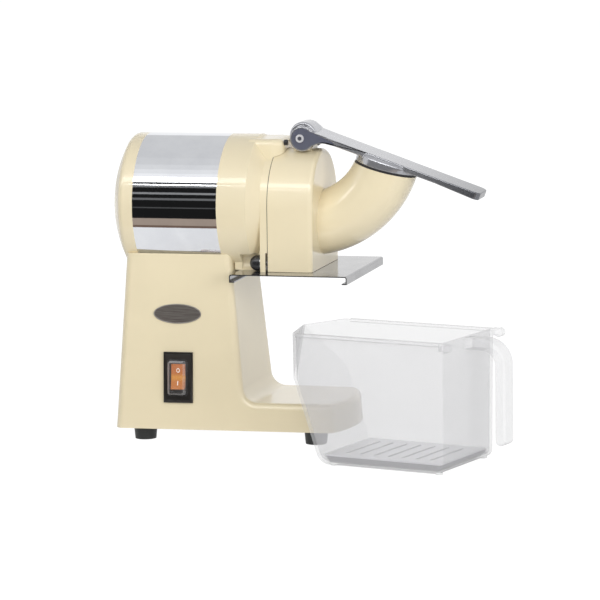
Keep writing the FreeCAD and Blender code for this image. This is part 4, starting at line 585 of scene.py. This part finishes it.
def rounded_copy(node, name, width, wanted):
    """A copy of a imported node's shape, with those of its sharp edges rounded whose two ends
    both pass the test."""
    piece = start_piece("primitive_plane_add", name, size=1.0)
    piece.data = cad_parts[node].data.copy()
    piece.data.name = name
    outwards(piece)
    bpy.context.tool_settings.mesh_select_mode = (False, True, False)
    bpy.ops.object.mode_set(mode="EDIT")
    bpy.ops.mesh.select_all(action="SELECT")
    bpy.ops.mesh.dissolve_limited(angle_limit=math.radians(0.8))
    bpy.ops.mesh.select_all(action="DESELECT")
    bpy.ops.mesh.edges_select_sharp(sharpness=math.radians(40.0))
    bpy.ops.object.mode_set(mode="OBJECT")
    places = [wanted(vertex.co) for vertex in piece.data.vertices]
    keep = [edge.select and all(places[i] for i in edge.vertices)
            for edge in piece.data.edges]
    for group in (piece.data.vertices, piece.data.polygons):
        group.foreach_set("select", [False] * len(group))
    piece.data.edges.foreach_set("select", keep)
    bpy.ops.object.mode_set(mode="EDIT")
    bpy.ops.mesh.bevel(offset=width, segments=3, affect="EDGES", clamp_overlap=False)
    bpy.ops.object.mode_set(mode="OBJECT")
    smooth(piece)
    finish_modifier(piece, "WEIGHTED_NORMAL", keep_sharp=True, weight=100)
    return piece


def hand_over(piece, body, material, replaced=()):
    """Gives a finished piece its material and its body, and hides the nodes it stands for."""
    if not piece.data.polygons:
        raise RuntimeError(piece.name + " is empty")
    piece.data.materials.clear()
    piece.data.materials.append(material)
    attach(piece, body)
    if replaced:
        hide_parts(*replaced)


def coat(node, material):
    """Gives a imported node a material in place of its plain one."""
    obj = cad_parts[node]
    if not obj.material_slots:
        obj.data.materials.append(material)
    for place in obj.material_slots:
        place.material = material


def middle(node):
    """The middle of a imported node's box."""
    low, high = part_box(node)
    return (low + high) / 2


def near_face(x, z, out=0.0):
    """The placement of a piece, drawn flat in XZ, on the column's near face or out of it."""
    half = STAND_REAR_HALF - (x + STAND_REAR) * STAND_TAPER
    half -= (z - FOOT_HEIGHT) * math.tan(STAND_LEAN)
    turn = Matrix.Rotation(math.atan(STAND_TAPER), 4, "Z")
    turn = turn @ Matrix.Rotation(-STAND_LEAN, 4, "X")
    place = Vector((x, -half, z)) + turn.to_3x3() @ Vector((0, -out, 0))
    return Matrix.Translation(place) @ turn


# ---------------------------------------------------------------- operators
class DressCastings(bpy.types.Operator):
    """Enamels the stand, the crusher housing, the hopper cover and the rear cap"""

    bl_idname = "icecrusher.castings"
    bl_label = "Castings"

    def execute(self, context):
        enamel = enamel_finish("cream_enamel", context.scene.crusher_finish)
        for node in ("stand_casting", "crusher_housing", "hopper_cover", "rear_cap"):
            coat(node, enamel)
        return {"FINISHED"}


class DressMotor(bpy.types.Operator):
    """Finishes the mirror band and everything inside the motor"""

    bl_idname = "icecrusher.motor"
    bl_label = "Motor"

    def execute(self, context):
        coat("motor_band", mirror_finish("mirror_polished_steel"))
        cast = turned_steel_finish("machined_casting", 188)
        for node in ("motor_frame", "rear_end_shield"):
            coat(node, cast)
        bright = turned_steel_finish("ground_steel", 214)
        for node in ("motor_shaft", "rear_bearing", "front_bearing", "motor_frame_bolts"):
            coat(node, bright)
        stack = laminated_finish("steel_laminations")
        for node in ("stator_core", "rotor_core"):
            coat(node, stack)
        coat("stator_windings", wound_finish("varnished_copper"))
        coat("cooling_fan", moulded_finish("fan_plastic", linear(64, 70, 80), 0.45))
        return {"FINISHED"}


class DressCrusher(bpy.types.Operator):
    """Finishes the disc, the knives, the seals and the clamps"""

    bl_idname = "icecrusher.crusher"
    bl_label = "Crusher"

    def execute(self, context):
        stainless = turned_steel_finish("machined_stainless", 208)
        for node in ("crushing_disc", "disc_nut", "clamp_studs", "clamp_washers"):
            coat(node, stainless)
        coat("crusher_blades", sheet_finish("ground_blade_steel"))
        rubber = moulded_finish("seal_rubber", linear(44, 44, 46), 0.55, 700.0, 0.2)
        for node in ("shaft_seal", "cover_gasket"):
            coat(node, rubber)
        knob = moulded_finish("knob_plastic", linear(42, 42, 45), 0.24, 500.0, 0.08, 0.3)
        for node in ("clamp_knob_near", "clamp_knob_far"):
            coat(node, knob)
        return {"FINISHED"}


class DressPlate(bpy.types.Operator):
    """Finishes the deflector plate and its screws"""

    bl_idname = "icecrusher.plate"
    bl_label = "Deflector plate"

    def execute(self, context):
        coat("deflector_plate", sheet_finish("bright_sheet_steel"))
        coat("plate_screws", turned_steel_finish("screw_steel", 200))
        return {"FINISHED"}


class DressLever(bpy.types.Operator):
    """Finishes the lever, its side covers, pin, lid seal, pusher and buffers"""

    bl_idname = "icecrusher.lever"
    bl_label = "Pusher lever"

    def execute(self, context):
        polished = polished_cast_finish("polished_cast_aluminium")
        pin = middle("lever_pin")

        def on_arm(spot):
            return math.hypot(spot.x - pin.x, spot.z - pin.z) > HUB_REACH

        lever = rounded_copy("pusher_lever", "lever_casting", LEVER_ROUND, on_arm)
        hand_over(lever, "lever", polished, ["pusher_lever"])
        coat("ice_pusher", polished)
        cover = moulded_finish("side_cover_plastic", linear(90, 93, 108), 0.3, 600.0, 0.1,
                               0.3)
        for node in ("lever_side_cover_near", "lever_side_cover_far"):
            coat(node, cover)
        coat("lever_pin", pin_finish("pin_steel", pin))
        rubber = moulded_finish("lid_rubber", linear(40, 40, 42), 0.5, 700.0, 0.2)
        for node in ("lid_seal", "lever_buffers"):
            coat(node, rubber)
        return {"FINISHED"}


class MakeSwitch(bpy.types.Operator):
    """Models the switch bezel, the clear hood, the lit rocker and its marks"""

    bl_idname = "icecrusher.switch"
    bl_label = "Switch"

    def execute(self, context):
        trim = context.scene.crusher_trim
        black = moulded_finish("switch_plastic", linear(34, 31, 29), 0.28, 600.0, 0.1, 0.25)
        self.make_bezel(trim, black)
        self.make_hood()
        self.make_marks(trim)
        coat("switch_block", black)
        self.make_paddle(lit_finish("lit_amber", context.scene.crusher_finish.lamp_on))
        return {"FINISHED"}

    def make_bezel(self, trim, material):
        """A raised frame round a sunk field, with the rocker's window in it."""
        bezel = start_piece("primitive_cube_add", "switch_frame", size=1.0,
                            location=(0, -BEZEL_SIZE[1] / 2, 0), scale=BEZEL_SIZE)
        pick_faces(bezel, faces_user)
        bpy.ops.mesh.inset(thickness=BEZEL_RIM)
        push(BEZEL_SINK)
        cutter = start_piece("primitive_cube_add", "switch_window", size=1.0,
                             scale=WINDOW_SIZE)
        cut_out(bezel, cutter)
        soften(bezel, trim.bezel_round * 0.5, 3)
        smooth(bezel)
        set_down(bezel, near_face(*SWITCH_AT))
        hand_over(bezel, "machine", material, ["switch_bezel"])

    def make_hood(self):
        """A clear cap with soft corners on a thin flange."""
        hood = start_piece("primitive_cube_add", "splash_hood", size=1.0,
                           location=(HOOD_OFFSET[0], HOOD_BASE - HOOD_RISE / 2,
                                     HOOD_OFFSET[1]),
                           scale=HOOD_SIZE)
        pick_faces(hood, faces_user)
        bpy.ops.transform.resize(value=HOOD_TAPER,
                                 center_override=(0, HOOD_BASE - HOOD_RISE, 0))
        pick_faces(hood, lambda face: face.normal.y > 0.9)
        bpy.ops.mesh.delete(type="ONLY_FACE")
        bpy.ops.object.mode_set(mode="OBJECT")
        soften(hood, HOOD_ROUND, 5, 30.0)
        activate(hood)
        for edge in hood.data.edges:
            ends = [hood.data.vertices[i].co.y for i in edge.vertices]
            edge.select = min(ends) > HOOD_BASE - 1e-6
        bpy.context.tool_settings.mesh_select_mode = (False, True, False)
        bpy.ops.object.mode_set(mode="EDIT")
        bpy.ops.mesh.extrude_edges_move(TRANSFORM_OT_translate={"value": (0, 0, 0)})
        bpy.ops.transform.resize(value=HOOD_FLANGE, center_override=(0, HOOD_BASE, 0))
        bpy.ops.object.mode_set(mode="OBJECT")
        outwards(hood)
        finish_modifier(hood, "SOLIDIFY", thickness=HOOD_WALL, offset=-1.0)
        soften(hood, 0.0003, 2, 50.0)
        smooth(hood, 50.0)
        set_down(hood, near_face(*SWITCH_AT))
        clear = veiled_finish("hood_plastic", linear(240, 240, 244), 0.02, 1.3, 1.0)
        hand_over(hood, "machine", clear, ["switch_hood"])

    def make_paddle(self, material):
        """The rocker as the hood shows it, wide enough to fill its window."""
        paddle = start_piece("primitive_plane_add", "rocker_paddle", size=1.0)
        paddle.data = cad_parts["switch_rocker"].data.copy()
        paddle.data.name = "rocker_paddle"
        pick_faces(paddle, lambda face: True)
        bpy.ops.transform.resize(value=(PADDLE_WIDER, 1.0, PADDLE_TALLER),
                                 center_override=middle("switch_rocker"))
        bpy.ops.object.mode_set(mode="OBJECT")
        outwards(paddle)
        soften(paddle, 0.0004, 2, 30.0)
        smooth(paddle, 10.0)
        hand_over(paddle, "rocker", material, ["switch_rocker"])

    def make_marks(self, trim):
        """A ring on the rocker's upper half and a bar on its lower half."""
        white = moulded_finish("mark_ink", linear(250, 244, 234), 0.4)
        axis = near_face(*SWITCH_AT, -ROCKER_AXIS_DEPTH)
        axis = axis @ Matrix.Rotation(-ROCKER_TILT, 4, "X")
        half = ROCKER_HALF / 2 * PADDLE_TALLER
        size = trim.mark_height
        stroke = trim.mark_stroke
        ring = start_piece("primitive_torus_add", "rocker_mark_off",
                           major_radius=size / 2 - stroke / 2, minor_radius=stroke / 2,
                           major_segments=40, minor_segments=8,
                           rotation=(math.pi / 2, 0, 0))
        pick_faces(ring, lambda face: True)
        bpy.ops.transform.resize(value=RING_SHAPE, center_override=(0, 0, 0))
        bpy.ops.object.mode_set(mode="OBJECT")
        smooth(ring, 60.0)
        bar = start_piece("primitive_cube_add", "rocker_mark_on", size=1.0,
                          scale=(stroke, BAR_THICKNESS, size))
        soften(bar, 0.00006, 2)
        for mark, side in ((ring, 1), (bar, -1)):
            lean = Matrix.Rotation(side * ROCKER_TILT, 4, "X")
            place = Matrix.Translation((0, -ROCKER_FACE_OUT - MARK_PROUD, side * half))
            set_down(mark, axis @ place @ lean)
            hand_over(mark, "rocker", white)


class MakeBadge(bpy.types.Operator):
    """Models the bare oval badge and its raised rim"""

    bl_idname = "icecrusher.badge"
    bl_label = "Badge"

    def execute(self, context):
        field = self.oval("badge_field")
        pick_faces(field, faces_user)
        push(-BADGE_THICKNESS)
        bpy.ops.mesh.inset(thickness=BADGE_BORDER)
        bpy.ops.object.mode_set(mode="OBJECT")
        soften(field, 0.00015, 2)
        smooth(field)
        set_down(field, near_face(*BADGE_AT))
        hand_over(field, "machine", badge_finish("brushed_badge", 128),
                  ["badge_plate"])
        rim = self.oval("badge_rim")
        pick_faces(rim, faces_user)
        push(-BADGE_RIM_OUT)
        bpy.ops.mesh.inset(thickness=context.scene.crusher_trim.badge_rim)
        push(BADGE_RIM_SINK)
        bpy.ops.object.mode_set(mode="OBJECT")
        soften(rim, 0.0002, 3)
        smooth(rim)
        set_down(rim, near_face(*BADGE_AT))
        hand_over(rim, "machine", badge_finish("badge_rim_metal", 176))
        return {"FINISHED"}

    def oval(self, name):
        """A thin oval plate whose back lies on the column."""
        plate = start_piece("primitive_cylinder_add", name, vertices=96, radius=BADGE_LONG,
                            depth=BADGE_BACK, location=(0, -BADGE_BACK / 2, 0),
                            rotation=(math.pi / 2, 0, 0))
        pick_faces(plate, lambda face: True)
        bpy.ops.transform.resize(value=(1.0, 1.0, BADGE_HIGH / BADGE_LONG),
                                 center_override=(0, 0, 0))
        bpy.ops.object.mode_set(mode="OBJECT")
        return plate


class DressBase(bpy.types.Operator):
    """Finishes the feet, the base plate, the cord's inlet and the electrics"""

    bl_idname = "icecrusher.base"
    bl_label = "Base"

    def execute(self, context):
        rubber = moulded_finish("foot_rubber", linear(38, 40, 39), 0.42, 700.0, 0.22)
        for end in ("rear", "front"):
            for side in ("near", "far"):
                coat("rubber_foot_%s_%s" % (end, side), rubber)
        coat("foot_screws", turned_steel_finish("foot_screw_steel", 190))
        coat("base_plate", turned_steel_finish("zinc_plated_sheet", 196))
        coat("cord_gland", rubber)
        white = moulded_finish("white_plastic", linear(228, 228, 224), 0.4)
        for node in ("run_capacitor", "terminal_block"):
            coat(node, white)
        return {"FINISHED"}


class DressBin(bpy.types.Operator):
    """Finishes the clear bin and its drainer"""

    bl_idname = "icecrusher.bin"
    bl_label = "Bin"

    def execute(self, context):
        settings = context.scene.crusher_finish
        coat("bin_shell", veiled_finish("milky_bin_plastic", tuple(settings.bin_tint),
                                        settings.bin_veil, 0.78, 0.3))
        coat("bin_drainer", drainer_finish("drainer_plastic", tuple(settings.drainer)))
        return {"FINISHED"}


class MakeStage(bpy.types.Operator):
    """Sets up the floor, the studio's walls as polished metal sees them, lamps and camera"""

    bl_idname = "icecrusher.stage"
    bl_label = "Studio"

    def execute(self, context):
        scene = context.scene
        studio = scene.crusher_studio
        self.make_floor()
        self.make_surroundings(scene, studio)
        self.make_cards()
        self.make_lamps(scene, studio)
        self.make_camera(scene, studio)
        return {"FINISHED"}

    def make_floor(self):
        """A white floor that still takes the machine's shadow."""
        floor = start_piece("primitive_plane_add", "studio_floor", size=40.0)
        f = Finish("studio_floor")
        f.tree.nodes.remove(f.shader)
        diffuse = f.add("ShaderNodeBsdfDiffuse", None, {"Color": linear(214, 214, 214)})
        glow = f.add("ShaderNodeEmission", None, {"Color": (1, 1, 1, 1), "Strength": 1.16})
        path = f.tree.nodes.new("ShaderNodeLightPath")
        shares = [Socket(f, path.outputs[ray]) * share for ray, share in (
            ("Is Camera Ray", 0.86), ("Is Transmission Ray", 0.86), ("Is Glossy Ray", 0.55))]
        share = shares[0]
        for other in shares[1:]:
            share = f.add("ShaderNodeMath", {"operation": "MAXIMUM"}, {0: share, 1: other})
        shown = f.add("ShaderNodeMixShader", None, {0: share, 1: diffuse, 2: glow})
        f.put(f.output.inputs["Surface"], shown)
        floor.data.materials.append(f.material)

    def make_surroundings(self, scene, studio):
        """Soft light from all round, which the camera and polished metal see as white."""
        world = bpy.data.worlds.new("studio")
        scene.world = world
        world.use_nodes = True
        tree = world.node_tree
        background = tree.nodes["Background"]
        background.inputs["Color"].default_value = (1.0, 1.0, 1.0, 1.0)
        path = tree.nodes.new("ShaderNodeLightPath")
        seen = path.outputs["Is Camera Ray"]
        for name in ("Is Glossy Ray", "Is Transmission Ray"):
            either = tree.nodes.new("ShaderNodeMath")
            either.operation = "MAXIMUM"
            tree.links.new(seen, either.inputs[0])
            tree.links.new(path.outputs[name], either.inputs[1])
            seen = either.outputs[0]
        level = tree.nodes.new("ShaderNodeMapRange")
        level.inputs["To Min"].default_value = studio.world
        level.inputs["To Max"].default_value = 1.0
        tree.links.new(seen, level.inputs["Value"])
        tree.links.new(level.outputs[0], background.inputs["Strength"])

    def wall_height(self, angle):
        """How high the motor's axis sees an angle on the wall in front."""
        return MOTOR_HEIGHT + ROOM_DEPTH * math.tan(math.radians(angle))

    def wall_card(self, name, low, high, brightness):
        """A card on the wall in front, between two angles."""
        self.card(name, (-ROOM_DEPTH, max(0.0, self.wall_height(low))),
                  (-ROOM_DEPTH, max(0.001, self.wall_height(high))), brightness)

    def flat_card(self, name, near, far, height, brightness):
        """A level card."""
        self.card(name, (near, height), (far, height), brightness)

    def card(self, name, start, end, brightness):
        """A plain card as wide as the room, between two places given by their Y and Z. Only
        polished surfaces see it."""
        card = start_piece("primitive_plane_add", name, size=1.0)
        for vertex, (side, place) in zip(card.data.vertices,
                                         ((-1, start), (1, start), (-1, end), (1, end))):
            vertex.co = (side * ROOM_SIDE, *place)
        f = Finish(name)
        f.tree.nodes.remove(f.shader)
        colour = brightness if isinstance(brightness, tuple) else (*[brightness] * 3, 1.0)
        glow = f.add("ShaderNodeEmission", None, {"Color": colour, "Strength": 1.0})
        f.put(f.output.inputs["Surface"], glow)
        card.data.materials.append(f.material)
        card.visible_camera = False
        card.visible_diffuse = False
        card.visible_transmission = False
        card.visible_shadow = False
        card.visible_volume_scatter = False

    def make_cards(self):
        """A dark room in front with thin lit gaps, a tan table edge, and a light ceiling."""
        self.flat_card("dark_floor", -ROOM_DEPTH, TABLE_NEAR, 0.002, 0.012)
        self.flat_card("tan_table", TABLE_NEAR, TABLE_FAR, 0.002, linear(168, 152, 138))
        self.flat_card("table_edge", TABLE_EDGE, TABLE_FAR, 0.003, linear(118, 98, 86))
        tops = [band[0] for band in WALL_BANDS[1:]] + [WALL_TOP]
        for index, (angle, brightness) in enumerate(WALL_BANDS):
            self.wall_card("dark_wall_%d" % index, angle, tops[index], brightness)
        self.wall_card("bright_gap", WALL_TOP, GAP_TOP, 5.0)
        for near, far, brightness in CEILING_STRIPS:
            self.flat_card("ceiling_%d" % (10 * (near + ROOM_DEPTH)), near, far,
                           self.wall_height(GAP_TOP), brightness)

    def lamp(self, scene, name, place, size, power):
        """A lamp that lights the machine without showing in polished metal."""
        data = bpy.data.lights.new(name, "AREA")
        data.shape = "RECTANGLE"
        data.size, data.size_y = size
        data.energy = power
        lamp = bpy.data.objects.new(name, data)
        scene.collection.objects.link(lamp)
        lamp.location = place
        aim = Vector(LAMP_TARGET) - Vector(place)
        lamp.rotation_euler = aim.to_track_quat("-Z", "Y").to_euler()
        lamp.visible_glossy = False
        return lamp

    def make_lamps(self, scene, studio):
        """A key in front, a fill at the right, one behind, and a strip that the gloss shows."""
        self.lamp(scene, "key_lamp", (0.1, -2.7, 1.3), (2.4, 1.6), studio.key)
        self.lamp(scene, "fill_lamp", (2.7, -2.2, 0.8), (1.8, 1.8), studio.fill)
        self.lamp(scene, "back_lamp", (-0.6, 3.0, 1.5), (2.6, 1.8), studio.back)
        strip = self.lamp(scene, "strip_lamp", (0.2, -2.95, 2.2), (3.6, 0.16), studio.strip)
        strip.visible_glossy = True

    def make_camera(self, scene, studio):
        """A long lens in front and a little to the right."""
        data = bpy.data.cameras.new("camera")
        data.lens = studio.lens
        data.sensor_width = 36.0
        camera = bpy.data.objects.new("camera", data)
        scene.collection.objects.link(camera)
        camera.location = CAMERA_AT
        turn = Euler((math.pi / 2 - studio.rise, 0.0, studio.turn), "XYZ").to_matrix()
        roll = Matrix.Rotation(studio.roll, 3, "Z")
        camera.rotation_euler = (turn @ roll).to_euler()
        data.clip_end = 100.0
        scene.camera = camera
        scene.view_settings.view_transform = "Standard"


STEPS = (DressCastings, DressMotor, DressCrusher, DressPlate, DressLever, MakeSwitch,
         MakeBadge, DressBase, DressBin, MakeStage)


class CrusherPanel(bpy.types.Panel):
    """Lists the settings and the steps"""

    bl_idname = "ICECRUSHER_PT_panel"
    bl_label = "Ice crusher"
    bl_space_type = "VIEW_3D"
    bl_region_type = "UI"
    bl_category = SIDEBAR_TAB

    def draw(self, context):
        for group in (context.scene.crusher_finish, context.scene.crusher_trim,
                      context.scene.crusher_studio):
            box = self.layout.box()
            for name in group.__annotations__:
                box.prop(group, name)
        for step in STEPS:
            self.layout.operator(step.bl_idname)


SETTINGS = {"crusher_finish": FinishSettings, "crusher_trim": TrimSettings,
            "crusher_studio": StudioSettings}


def register():
    for name, group in SETTINGS.items():
        bpy.utils.register_class(group)
        setattr(bpy.types.Scene, name, bpy.props.PointerProperty(type=group))
    for step in STEPS:
        bpy.utils.register_class(step)
    bpy.utils.register_class(CrusherPanel)


def unregister():
    bpy.utils.unregister_class(CrusherPanel)
    for step in reversed(STEPS):
        bpy.utils.unregister_class(step)
    for name, group in SETTINGS.items():
        delattr(bpy.types.Scene, name)
        bpy.utils.unregister_class(group)


def main():
    register()
    for step in STEPS:
        group, name = step.bl_idname.split(".")
        getattr(getattr(bpy.ops, group), name)()


if __name__ == "__main__":
    main()
